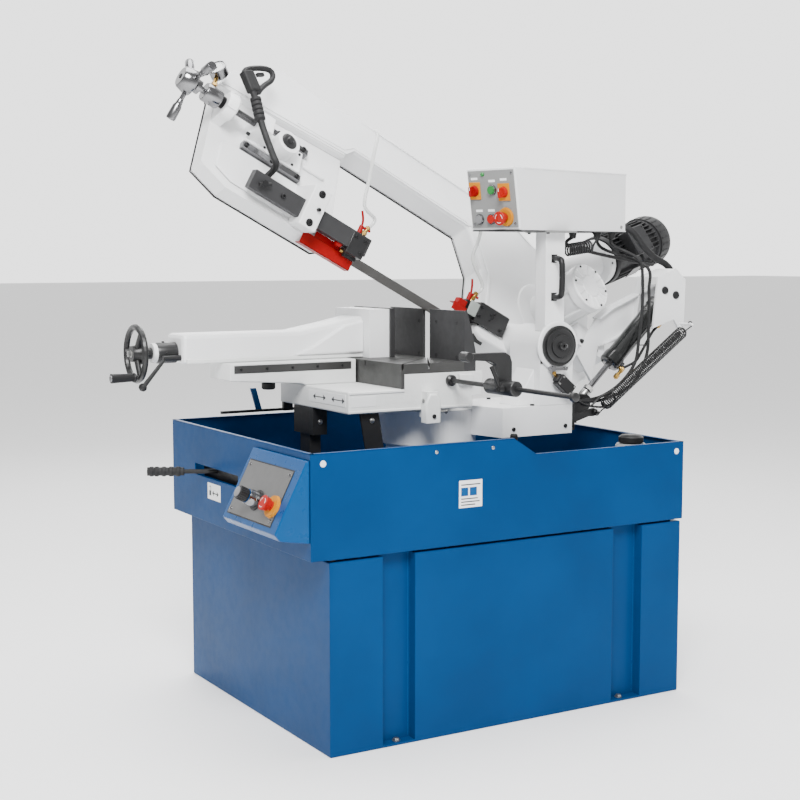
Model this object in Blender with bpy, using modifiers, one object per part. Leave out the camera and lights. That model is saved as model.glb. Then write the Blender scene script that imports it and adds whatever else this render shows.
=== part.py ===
import math

import bmesh
import bpy
from mathutils import Matrix, Vector

# driving dimensions (metres)
GAP = 0.0003
CABINET_LENGTH = 1.14
CABINET_DEPTH = 0.882
CABINET_HEIGHT = 0.499
TABLE_TOP = 0.958
SWIVEL_X = 0.027
SWIVEL_Y = 0.070
BOW_RAISE = math.radians(28.0)
BOW_TILT = math.radians(30.0)
BOW_START = Vector((0.055, 0.070, 1.095))
PIVOT = Vector((0.3215, 0.070, 0.996))
WHEEL_RADIUS = 0.1775
IDLER_S = -0.637
DRIVE_S = 0.385
WHEEL_T = 0.1775
BLADE_WIDTH = 0.027
BLADE_THICKNESS = 0.0009
WALL = 0.004

for old in list(bpy.data.objects):
    bpy.data.objects.remove(old, do_unlink=True)

PARTS = bpy.data.collections.new("band_saw")
CUTTERS = bpy.data.collections.new("cutters")
bpy.context.scene.collection.children.link(PARTS)
bpy.context.scene.collection.children.link(CUTTERS)

AX_X = Vector((1, 0, 0))
AX_Y = Vector((0, 1, 0))
AX_Z = Vector((0, 0, 1))
ALONG = Vector((math.cos(BOW_RAISE), 0, -math.sin(BOW_RAISE)))
RISE = Vector((math.sin(BOW_RAISE), 0, math.cos(BOW_RAISE)))
LEAN = RISE * math.cos(BOW_TILT) + AX_Y * math.sin(BOW_TILT)
FRONT = RISE * math.sin(BOW_TILT) - AX_Y * math.cos(BOW_TILT)


def basis(x_dir, y_dir, z_dir, origin):
    m = Matrix((x_dir, y_dir, z_dir)).transposed().to_4x4()
    m.translation = origin
    return m


WORLD = Matrix.Identity(4)
UPRIGHT = basis(AX_X, AX_Z, -AX_Y, Vector((0, 0, 0)))
HEAD = basis(ALONG, LEAN, FRONT, BOW_START)
GUIDE = basis(ALONG, RISE, -AX_Y, BOW_START)
BOX_TURN = Matrix.Translation((0.154, -0.225, 1.328)) @ Matrix.Rotation(math.radians(15.0), 4, "Z")
PANEL_DIR = Vector((-0.028, 0, 0.175)).normalized()
PANEL = BOX_TURN @ basis(AX_Y, PANEL_DIR, AX_Y.cross(PANEL_DIR), Vector((0, 0, 0)))
PANEL_OUT = -1 if (PANEL.to_3x3() @ AX_Z).x > 0 else 1
FACE_DIR = Vector((-0.8915, 0, 0.4534))
FACE_UP = Vector((0.4534, 0, 0.8915))
PULPIT = basis(AX_Y, FACE_UP, AX_Y.cross(FACE_UP), Vector((-0.631, 0, 0.758)))
PULPIT_OUT = 1 if (PULPIT.to_3x3() @ AX_Z).x < 0 else -1


def material(name, colour, roughness, metallic):
    mat = bpy.data.materials.new(name)
    mat.use_nodes = True
    shader = mat.node_tree.nodes["Principled BSDF"]
    shader.inputs["Base Color"].default_value = (*colour, 1.0)
    shader.inputs["Roughness"].default_value = roughness
    shader.inputs["Metallic"].default_value = metallic
    return mat


LOOKS = {
    "white": ((0.80, 0.81, 0.80), 0.45, 0.0),
    "blue": ((0.02, 0.10, 0.32), 0.4, 0.0),
    "dark": ((0.05, 0.05, 0.055), 0.5, 0.2),
    "steel": ((0.55, 0.56, 0.57), 0.3, 1.0),
    "red": ((0.6, 0.02, 0.02), 0.4, 0.0),
    "yellow": ((0.8, 0.55, 0.02), 0.4, 0.0),
    "green": ((0.02, 0.4, 0.08), 0.4, 0.0),
    "grey": ((0.35, 0.36, 0.37), 0.5, 0.0),
    "rubber": ((0.02, 0.02, 0.02), 0.7, 0.0),
}


def link(obj, mesh_matrix, collection):
    collection.objects.link(obj)
    obj.matrix_world = mesh_matrix
    if collection == CUTTERS:
        obj.hide_render = True
        obj.display_type = "WIRE"
    return obj


def raw(name, bm, matrix):
    mesh = bpy.data.meshes.new(name)
    bmesh.ops.recalc_face_normals(bm, faces=bm.faces)
    bm.to_mesh(mesh)
    bm.free()
    return link(bpy.data.objects.new(name, mesh), matrix, CUTTERS)


def box(lo, hi, frame=WORLD):
    bm = bmesh.new()
    size = Vector([b - a for a, b in zip(lo, hi)])
    middle = Vector([(a + b) / 2 for a, b in zip(lo, hi)])
    bmesh.ops.create_cube(bm, size=1.0, matrix=Matrix.Diagonal((*size, 1.0)))
    return raw("box", bm, frame @ Matrix.Translation(middle))


def rod(start, end, r1, r2=None, sides=32, frame=WORLD):
    start = Vector(start)
    end = Vector(end)
    r2 = r1 if r2 is None else r2
    along = end - start
    bm = bmesh.new()
    bmesh.ops.create_cone(bm, cap_ends=True, segments=sides, radius1=r1, radius2=r2, depth=along.length)
    turn = along.to_track_quat("Z", "Y").to_matrix().to_4x4()
    return raw("rod", bm, frame @ Matrix.Translation((start + end) / 2) @ turn)


def ball(centre, radius, frame=WORLD):
    bm = bmesh.new()
    bmesh.ops.create_uvsphere(bm, u_segments=20, v_segments=12, radius=radius)
    return raw("ball", bm, frame @ Matrix.Translation(centre))


def prism(points, low, high, frame=WORLD):
    curve = bpy.data.curves.new("outline", "CURVE")
    curve.dimensions = "2D"
    curve.fill_mode = "BOTH"
    curve.extrude = (high - low) / 2
    spline = curve.splines.new("POLY")
    spline.points.add(len(points) - 1)
    for point, (x, y) in zip(spline.points, points):
        point.co = (x, y, 0, 1)
    spline.use_cyclic_u = True
    holder = bpy.data.objects.new("outline", curve)
    CUTTERS.objects.link(holder)
    mesh = bpy.data.meshes.new_from_object(holder)
    bpy.data.objects.remove(holder, do_unlink=True)
    bm = bmesh.new()
    bm.from_mesh(mesh)
    bmesh.ops.remove_doubles(bm, verts=bm.verts, dist=0.00001)
    bmesh.ops.dissolve_limit(bm, angle_limit=0.001, verts=bm.verts, edges=bm.edges)
    return raw("prism", bm, frame @ Matrix.Translation((0, 0, (low + high) / 2)))


def tube(points, radius, frame=WORLD, closed=False, smooth=3):
    pts = [Vector(p) for p in points]
    for _ in range(smooth):
        if closed:
            ring = pts + [pts[0]]
            pts = []
            for a, b in zip(ring, ring[1:]):
                pts += [a.lerp(b, 0.25), a.lerp(b, 0.75)]
        else:
            cut = [pts[0]]
            for a, b in zip(pts, pts[1:]):
                cut += [a.lerp(b, 0.25), a.lerp(b, 0.75)]
            pts = [*cut[:1], *cut[2:-2], cut[-2], pts[-1]] if len(pts) > 2 else pts
    curve = bpy.data.curves.new("path", "CURVE")
    curve.dimensions = "3D"
    curve.bevel_depth = radius
    curve.bevel_resolution = 2
    curve.use_fill_caps = not closed
    spline = curve.splines.new("POLY")
    spline.points.add(len(pts) - 1)
    for point, p in zip(spline.points, pts):
        point.co = (*p, 1)
    spline.use_cyclic_u = closed
    holder = bpy.data.objects.new("path", curve)
    CUTTERS.objects.link(holder)
    mesh = bpy.data.meshes.new_from_object(holder)
    bpy.data.objects.remove(holder, do_unlink=True)
    bm = bmesh.new()
    bm.from_mesh(mesh)
    bmesh.ops.remove_doubles(bm, verts=bm.verts, dist=0.00001)
    return raw("tube", bm, frame)


def turned(profile, start, axis, frame=WORLD, steps=48):
    curve_mesh = bpy.data.meshes.new("profile")
    closed = profile[0] == profile[-1]
    verts = profile[:-1] if closed else profile
    edges = [(i, i + 1) for i in range(len(verts) - 1)]
    if closed:
        edges.append((len(verts) - 1, 0))
    curve_mesh.from_pydata([(r, 0, z) for r, z in verts], edges, [])
    turn = Vector(axis).to_track_quat("Z", "Y").to_matrix().to_4x4()
    obj = bpy.data.objects.new("turned", curve_mesh)
    link(obj, frame @ Matrix.Translation(start) @ turn, CUTTERS)
    spin = obj.modifiers.new("Screw", "SCREW")
    spin.steps = steps
    spin.render_steps = steps
    spin.use_merge_vertices = True
    spin.merge_threshold = 0.00001
    spin.use_normal_flip = False
    return obj


def combine(obj, others, operation):
    for other in others:
        step = obj.modifiers.new(operation.title(), "BOOLEAN")
        step.operation = operation
        step.solver = "EXACT"
        step.object = other
    return obj


def join(obj, *others):
    return combine(obj, others, "UNION")


def cut(obj, *others):
    return combine(obj, others, "DIFFERENCE")


def soften(obj, width, segments=2, angle=40.0):
    step = obj.modifiers.new("Bevel", "BEVEL")
    step.width = width
    step.segments = segments
    step.limit_method = "ANGLE"
    step.angle_limit = math.radians(angle)
    return obj


def origin_to(obj, point, frame=WORLD):
    target = (frame @ Matrix.Translation(point)).translation
    shift = obj.matrix_world.inverted() @ target
    obj.data.transform(Matrix.Translation(-shift))
    obj.matrix_world = obj.matrix_world @ Matrix.Translation(shift)
    return obj


def piece(name, obj, look, smooth=35.0):
    CUTTERS.objects.unlink(obj)
    PARTS.objects.link(obj)
    obj.hide_render = False
    obj.display_type = "TEXTURED"
    obj.name = name
    obj.data.name = name
    obj.data.materials.clear()
    colour, roughness, metallic = LOOKS[look]
    obj.data.materials.append(material(name, colour, roughness, metallic))
    if len(obj.data.polygons):
        obj.data.shade_smooth()
        obj.data.set_sharp_from_angle(angle=math.radians(smooth))
    return obj


def inset(points, d):
    area = sum(a[0] * b[1] - b[0] * a[1] for a, b in zip(points, points[1:] + points[:1]))
    sign = 1 if area > 0 else -1
    result = []
    for i, p in enumerate(points):
        a = Vector(points[i - 1])
        b = Vector(p)
        c = Vector(points[(i + 1) % len(points)])
        u = (b - a).normalized()
        v = (c - b).normalized()
        n1 = Vector((-u.y, u.x)) * sign
        n2 = Vector((-v.y, v.x)) * sign
        m = (n1 + n2) / (1 + n1.dot(n2))
        result.append(tuple(b + m * d))
    return result


def make_base():
    x = CABINET_LENGTH / 2
    y = CABINET_DEPTH / 2
    cabinet = soften(box((-x, -y, 0), (x, y, CABINET_HEIGHT)), 0.003)
    join(cabinet, box((-x + 0.02, -y + 0.02, 0.49), (x - 0.02, y - 0.02, 0.5055 - GAP)))
    for x0, x1, hole in ((-0.418, -0.322, -0.369), (0.325, 0.428, 0.366)):
        cut(cabinet, box((x0, -y - 0.01, 0.007), (x1, -y + 0.03, 0.51)))
        cut(cabinet, rod((hole, -y + 0.018, -0.01), (hole, -y + 0.018, 0.02), 0.007, sides=20))
    piece("cabinet", cabinet, "blue")

    tray = soften(box((-0.6235, -0.444, 0.5055), (0.5747, 0.4456, 0.7736)), 0.002)
    cut(tray, box((-0.6205, -0.441, 0.5085), (0.5717, 0.4426, 0.79)))
    step = [(-0.015, 0.79), (-0.015, 0.772), (0.056, 0.727), (0.6, 0.727), (0.6, 0.79)]
    cut(tray, prism(step, 0.42, 0.46, UPRIGHT))
    cut(tray, box((0.56, -0.46, 0.727), (0.6, 0.40, 0.80)))
    cut(tray, box((-0.64, -0.017, 0.633), (-0.61, 0.278, 0.666)))
    cut(tray, box((-0.64, -0.46, 0.50), (-0.575, 0.46, 0.507)))
    piece("chip_tray", tray, "blue")

    shape = [(-0.6238, 0.758), (-0.631, 0.758), (-0.72, 0.583), (-0.705, 0.565), (-0.6238, 0.552)]
    pulpit = soften(prism(shape, 0.13, 0.44, UPRIGHT), 0.003)
    flow = Vector((-0.28, -0.129, 0))
    out = Vector((0, 0, PULPIT_OUT))
    join(pulpit, rod(flow - out * 0.01, flow + out * 0.006, 0.026, frame=PULPIT))
    join(pulpit, rod(flow - out * 0.01, flow + out * 0.034, 0.019, frame=PULPIT))
    piece("pulpit_housing", pulpit, "blue")
    knob = rod(flow + out * (0.034 + GAP), flow + out * 0.062, 0.0175, 0.0165, frame=PULPIT)
    piece("coolant_knob", soften(knob, 0.002), "rubber")
    stop = Vector((-0.376, -0.132, 0))
    collar = rod(stop + out * GAP, stop + out * 0.009, 0.030, 0.028, frame=PULPIT)
    cut(collar, rod(stop - out * 0.01, stop + out * 0.03, 0.0128, frame=PULPIT))
    piece("base_estop_collar", collar, "yellow")
    button = rod(stop + out * 0.006, stop + out * 0.02, 0.0124, frame=PULPIT)
    join(button, rod(stop + out * 0.018, stop + out * 0.034, 0.0165, 0.019, frame=PULPIT))
    piece("base_estop_button", button, "red")

    profile = [(0, 0.8267), (0.085, 0.8267), (0.085, 0.7125), (0.12, 0.7125), (0.12, 0.5088), (0, 0.5088)]
    piece("bed_pedestal", turned(profile, (SWIVEL_X, SWIVEL_Y, 0), AX_Z), "white")

    bed = soften(box((-0.347, -0.134, 0.827), (0.09, 0.285, 0.889)), 0.004)
    join(bed, box((-0.17, -0.134, 0.88), (0.09, 0.285, 0.9297)))
    join(bed, box((-0.113, -0.160, 0.807), (-0.076, -0.12, 0.88)))
    cut(bed, box((0.055, -0.2, 0.82), (0.1, 0.3, 0.86)))
    piece("bed_casting", bed, "white")

    table = box((-0.18, -0.134, 0.93), (SWIVEL_X, 0.285, TABLE_TOP))
    join(table, box((-0.18, -0.134, 0.8893), (-0.1703, 0.285, 0.94)))
    for angle in (0.0, 45.0, 60.0, -45.0, -25.0):
        a = math.radians(angle)
        slot = Matrix.Translation((SWIVEL_X, SWIVEL_Y, 0)) @ Matrix.Rotation(a, 4, "Z")
        reach = 0.35 if angle >= 0 else 0.30
        cut(table, box((-reach, -0.0025, TABLE_TOP - 0.0165), (0.02, 0.0025, 0.97), frame=slot))
    piece("bed_table", table, "dark")

    jaw = [(0.0273, 0.9302), (0.066, 0.9302), (0.066, 0.985), (0.052, 1.05), (0.036, 1.101), (0.0273, 1.101)]
    near = prism(jaw, -0.052, 0.134, UPRIGHT)
    cut(near, prism([(0.0336, 0.06), (0.08, 0.06), (0.08, 0.0099)], 0.9, 1.2))
    piece("fixed_jaw_near", near, "steel")
    far = prism(jaw, -0.28, -0.088, UPRIGHT)
    cut(far, prism([(0.0324, 0.084), (0.08, 0.084), (0.08, 0.1666)], 0.9, 1.2))
    piece("fixed_jaw_far", far, "steel")

    post = box((-0.345, 0.08, 0.748), (-0.30, 0.2, 0.8267))
    join(post, box((-0.34, 0.11, 0.5088), (-0.305, 0.17, 0.76)))
    join(post, box((-0.36, 0.03, 0.5088), (-0.305, 0.17, 0.52)))
    join(post, rod((-0.34, 0.05, 0.51), (-0.34, 0.05, 0.70), 0.010, sides=24))
    piece("support_post", post, "dark")
    lower = [(-0.302, 0.8267), (-0.243, 0.8267), (-0.227, 0.73), (-0.227, 0.5088), (-0.284, 0.5088),
             (-0.284, 0.73)]
    strap = prism(lower, 0.110, 0.116, UPRIGHT)
    piece("strap_plate", strap, "dark")

    profile = [(0, 0.72), (0.040, 0.72), (0.045, 0.714), (0.045, 0.60), (0.038, 0.595), (0.038, 0.5088), (0, 0.5088)]
    piece("coolant_pump", turned(profile, (0.463, -0.345, 0), AX_Z, steps=36), "grey")

    stick = rod((-0.021, -0.1343, 0.907), (-0.021, -0.712, 0.907), 0.0065, sides=24)
    join(stick, rod((-0.021, -0.1343, 0.907), (-0.021, -0.146, 0.907), 0.013, sides=24))
    piece("length_stop_rod", stick, "steel")
    slider = soften(box((-0.045, -0.46, 0.888), (0.003, -0.33, 0.930)), 0.003)
    join(slider, box((-0.033, -0.407, 0.92), (-0.009, -0.383, 1.0)))
    join(slider, box((-0.139, -0.403, 0.984), (-0.02, -0.387, 1.0)))
    cut(slider, rod((-0.021, -0.5, 0.907), (-0.021, -0.3, 0.907), 0.0069, sides=24))
    piece("length_stop_slider", slider, "dark")
    clamp = rod((-0.0453, -0.43, 0.907), (-0.060, -0.43, 0.907), 0.009, sides=24)
    join(clamp, rod((-0.054, -0.43, 0.907), (-0.082, -0.43, 0.967), 0.0045, 0.006, sides=16))
    piece("length_stop_lever", clamp, "rubber")

    lever = rod((-0.34, 0.05, 0.635), (-0.34, 0.05, 0.665), 0.018, sides=32)
    join(lever, rod((-0.352, 0.0568, 0.65), (-0.69, 0.2439, 0.65), 0.0065, sides=16))
    join(lever, rod((-0.675, 0.2356, 0.65), (-0.765, 0.2854, 0.65), 0.0115, 0.0125, sides=20))
    cut(lever, rod((-0.34, 0.05, 0.60), (-0.34, 0.05, 0.70), 0.0104, sides=24))
    piece("swivel_lock_lever", lever, "rubber")


def make_vise():
    shape = [(-0.5825, 0.909), (-0.36, 0.894), (-0.349, 0.8893), (-0.1835, 0.8893), (-0.1835, 0.958),
             (-0.5825, 0.958)]
    piece("vise_base", soften(prism(shape, -0.262, -0.118, UPRIGHT), 0.003), "white")
    shape = [(-0.70, 0.9583), (-0.08, 0.9583), (-0.08, 1.087), (-0.16, 1.075), (-0.22, 1.062), (-0.34, 1.04),
             (-0.70, 1.04)]
    ram = soften(prism(shape, -0.289, -0.169, UPRIGHT), 0.012, 2)
    join(ram, box((-0.135, 0.125, 0.9583), (-0.0673, 0.333, 1.10)))
    join(ram, rod((-0.69, 0.229, 0.988), (-0.77, 0.229, 0.988), 0.027))
    cut(ram, rod((-0.715, 0.229, 0.988), (-0.80, 0.229, 0.988), 0.0123))
    piece("vise_ram", ram, "white")
    piece("jaw_plate", soften(box((-0.067, 0.118, 0.9583), (-0.052, 0.34, 1.103)), 0.001, 1), "steel")

    hub = rod((-0.720, 0.229, 0.988), (-0.800, 0.229, 0.988), 0.012, sides=24)
    origin_to(hub, (-0.814, 0.229, 0.988))
    join(hub, rod((-0.7703, 0.229, 0.988), (-0.792, 0.229, 0.988), 0.016, sides=24))
    join(hub, rod((-0.790, 0.229, 0.988), (-0.828, 0.229, 0.988), 0.022, sides=32))
    ring = [(-0.814, 0.229 + 0.0735 * math.cos(i * math.tau / 40), 0.988 + 0.0735 * math.sin(i * math.tau / 40))
            for i in range(40)]
    join(hub, tube(ring, 0.009, closed=True, smooth=0))
    pin = (0.2, 0.925)
    start = math.atan2(pin[1] - 0.988, pin[0] - 0.229)
    for i in range(3):
        a = start + i * math.tau / 3
        tip = (-0.814, 0.229 + 0.072 * math.cos(a), 0.988 + 0.072 * math.sin(a))
        join(hub, rod((-0.814, 0.229, 0.988), tip, 0.009, 0.007, sides=16))
    join(hub, rod((-0.814, *pin), (-0.875, *pin), 0.005, sides=16))
    piece("handwheel", hub, "dark")
    grip = rod((-0.8265, *pin), (-0.897, *pin), 0.0105, 0.0135, sides=24)
    cut(grip, rod((-0.80, *pin), (-0.878, *pin), 0.0054, sides=16))
    piece("crank_handle", grip, "rubber")
    quick = rod((-0.7003, 0.187, 0.975), (-0.752, 0.187, 0.975), 0.008, sides=20)
    join(quick, rod((-0.745, 0.187, 0.975), (-0.824, 0.152, 0.902), 0.005, 0.0065, sides=16))
    piece("vise_quick_lever", quick, "rubber")


def make_swivel():
    profile = [(0.147, 0.812), (0.147, 0.7128), (0.0854, 0.7128), (0.0854, 0.812), (0.147, 0.812)]
    arm = turned(profile, (SWIVEL_X, SWIVEL_Y, 0), AX_Z, steps=64)
    deck = [(0.132, -0.175), (0.38, -0.175), (0.38, 0.10), (0.168, 0.10), (0.12, 0.07), (0.10, -0.045)]
    join(arm, prism(deck, 0.737, 0.8225))
    piece("swivel_arm", arm, "white")

    outline = [(0.3805, 0.8228)]
    for i in range(25):
        a = i * math.pi / 24
        outline.append((0.3215 + 0.059 * math.cos(a), 0.996 + 0.059 * math.sin(a)))
    outline.append((0.2625, 0.8228))
    column = prism(outline, 0.022, 0.175, UPRIGHT)
    cut(column, rod((0.3215, -0.2, 0.996), (0.3215, 0.0, 0.996), 0.0204))
    piece("pivot_column", column, "white")

    stem = box((0.279, -0.175, 1.0), (0.347, -0.126, 1.3277))
    cut(stem, rod((0.3215, -0.2, 0.996), (0.3215, 0.0, 0.996), 0.0595, sides=64))
    handle = tube([(0.309, -0.170, 1.247), (0.309, -0.212, 1.243), (0.309, -0.212, 1.142), (0.309, -0.170, 1.138)],
                  0.007)
    join(stem, handle)
    piece("control_post", stem, "white")

    side = [(0, 0), (0.50, 0), (0.50, 0.175), (-0.028, 0.175)]
    case = soften(prism(side, -0.18, 0.0, BOX_TURN @ UPRIGHT), 0.004)
    piece("electric_box", case, "white")
    out = Vector((0, 0, PANEL_OUT))
    face = box((0.006, 0.008, 0.0003 * PANEL_OUT), (0.174, 0.170, 0.0028 * PANEL_OUT), frame=PANEL)
    for u, v in ((0.151, 0.114), (0.044, 0.108)):
        join(face, box((u - 0.020, v - 0.024, 0.001 * PANEL_OUT), (u + 0.020, v + 0.024, 0.006 * PANEL_OUT), frame=PANEL))
    piece("control_panel", face, "grey")
    for name, u, v in (("main_switch_knob", 0.151, 0.114), ("speed_switch_knob", 0.044, 0.108)):
        at = Vector((u, v, 0))
        knob = rod(at + out * (0.006 + GAP), at + out * 0.016, 0.016, 0.014, frame=PANEL)
        join(knob, box((u - 0.0045, v - 0.0135, 0.012 * PANEL_OUT), (u + 0.0045, v + 0.0135, 0.028 * PANEL_OUT), frame=PANEL))
        piece(name, knob, "red")
    for name, u, v, look in (("start_button", 0.087, 0.115, "green"), ("grey_button", 0.143, 0.033, "grey"),
                             ("red_button", 0.098, 0.033, "red")):
        at = Vector((u, v, 0))
        cap = rod(at + out * (0.0061), at + out * 0.0125, 0.0125, 0.0115, frame=PANEL)
        piece(name, cap, look)
    at = Vector((0.045, 0.038, 0))
    collar = rod(at + out * 0.0031, at + out * 0.010, 0.027, 0.025, frame=PANEL)
    cut(collar, rod(at, at + out * 0.03, 0.0118, frame=PANEL))
    piece("panel_estop_collar", collar, "yellow")
    button = rod(at + out * 0.008, at + out * 0.022, 0.0114, frame=PANEL)
    join(button, rod(at + out * 0.020, at + out * 0.036, 0.0165, 0.019, frame=PANEL))
    piece("panel_estop_button", button, "red")

    switch = soften(box((0.300, -0.213, 0.862), (0.356, -0.1753, 0.912)), 0.002)
    join(switch, box((0.328, -0.19, 0.905), (0.350, -0.1753, 0.9215)))
    piece("limit_switch", switch, "yellow")
    lever = rod((0.339, -0.200, 0.930), (0.339, -0.1905, 0.930), 0.006, sides=20)
    origin_to(lever, (0.339, -0.195, 0.930))
    join(lever, box((0.294, -0.1985, 0.9265), (0.339, -0.1955, 0.9335)))
    join(lever, rod((0.294, -0.200, 0.931), (0.294, -0.181, 0.931), 0.008, sides=24))
    piece("limit_lever", lever, "steel")

    cheek = [(0.385, 0.75), (0.478, 0.785), (0.492, 0.805), (0.492, 0.833), (0.478, 0.842), (0.455, 0.842),
             (0.385, 0.81)]
    bracket = box((0.3803, -0.172, 0.744), (0.392, -0.05, 0.8225))
    for y0, y1 in ((0.062, 0.072), (0.108, 0.118)):
        join(bracket, prism(cheek, y0, y1, UPRIGHT))
    eye = [(0.385, 0.765), (0.445, 0.782), (0.462, 0.781), (0.476, 0.785), (0.478, 0.80), (0.462, 0.806), (0.385, 0.79)]
    join(bracket, prism(eye, 0.166, 0.172, UPRIGHT))
    join(bracket, box((0.385, -0.172, 0.765), (0.40, -0.10, 0.79)))
    cut(bracket, rod((0.467, -0.14, 0.819), (0.467, -0.04, 0.819), 0.0118))
    join(bracket, rod((0.469, -0.168, 0.793), (0.469, -0.188, 0.793), 0.0045, sides=20))
    piece("rod_bracket", bracket, "dark")


OUTLINE = [
    (-0.852, 0.0), (-0.765, -0.035), (-0.44, -0.035), (-0.42, -0.02), (-0.42, 0.31), (-0.395, 0.335),
    (0.06, 0.335), (0.125, 0.21), (0.125, -0.03), (0.15, -0.04), (0.50, -0.04), (0.595, 0.04), (0.595, 0.29),
    (0.51, 0.395), (0.33, 0.43), (0.22, 0.475), (-0.403, 0.471), (-0.487, 0.448), (-0.683, 0.453),
    (-0.836, 0.336), (-0.862, 0.27), (-0.852, 0.25),
]


def blade():
    ring = []
    half = 40
    top = 2 * WHEEL_T
    for i in range(half + 1):
        a = math.pi / 2 + i * math.pi / half
        p = (IDLER_S + WHEEL_RADIUS * math.cos(a), WHEEL_T + WHEEL_RADIUS * math.sin(a))
        ring.append((p, (math.cos(a), math.sin(a)), 0.0))
    for i in range(1, 13):
        s = -0.60 + 0.215 * i / 12
        ring.append(((s, 0.0), (0, -1), BOW_TILT_TWIST * (i / 12)))
    for i in range(13):
        s = 0.15 + 0.185 * i / 12
        ring.append(((s, 0.0), (0, -1), BOW_TILT_TWIST * (1 - i / 12)))
    for i in range(half + 1):
        a = -math.pi / 2 + i * math.pi / half
        p = (DRIVE_S + WHEEL_RADIUS * math.cos(a), WHEEL_T + WHEEL_RADIUS * math.sin(a))
        ring.append((p, (math.cos(a), math.sin(a)), 0.0))
    bm = bmesh.new()
    rows = []
    for (s, t), (ox, oy), twist in ring:
        out = Vector((ox, oy, 0))
        wide = Vector((0, 0, 1))
        c = math.cos(twist)
        k = math.sin(twist)
        thick_dir = out * c + wide * k
        wide_dir = wide * c - out * k
        centre = Vector((s, t, 0))
        row = []
        for w, h in ((1, 1), (1, -1), (-1, -1), (-1, 1)):
            row.append(bm.verts.new(centre + wide_dir * (w * BLADE_WIDTH / 2) + thick_dir * (h * BLADE_THICKNESS / 2)))
        rows.append(row)
    for a, b in zip(rows, rows[1:] + rows[:1]):
        for i in range(4):
            j = (i + 1) % 4
            bm.faces.new((a[i], a[j], b[j], b[i]))
    return raw("blade", bm, HEAD)


BOW_TILT_TWIST = math.radians(60.0)


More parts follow.
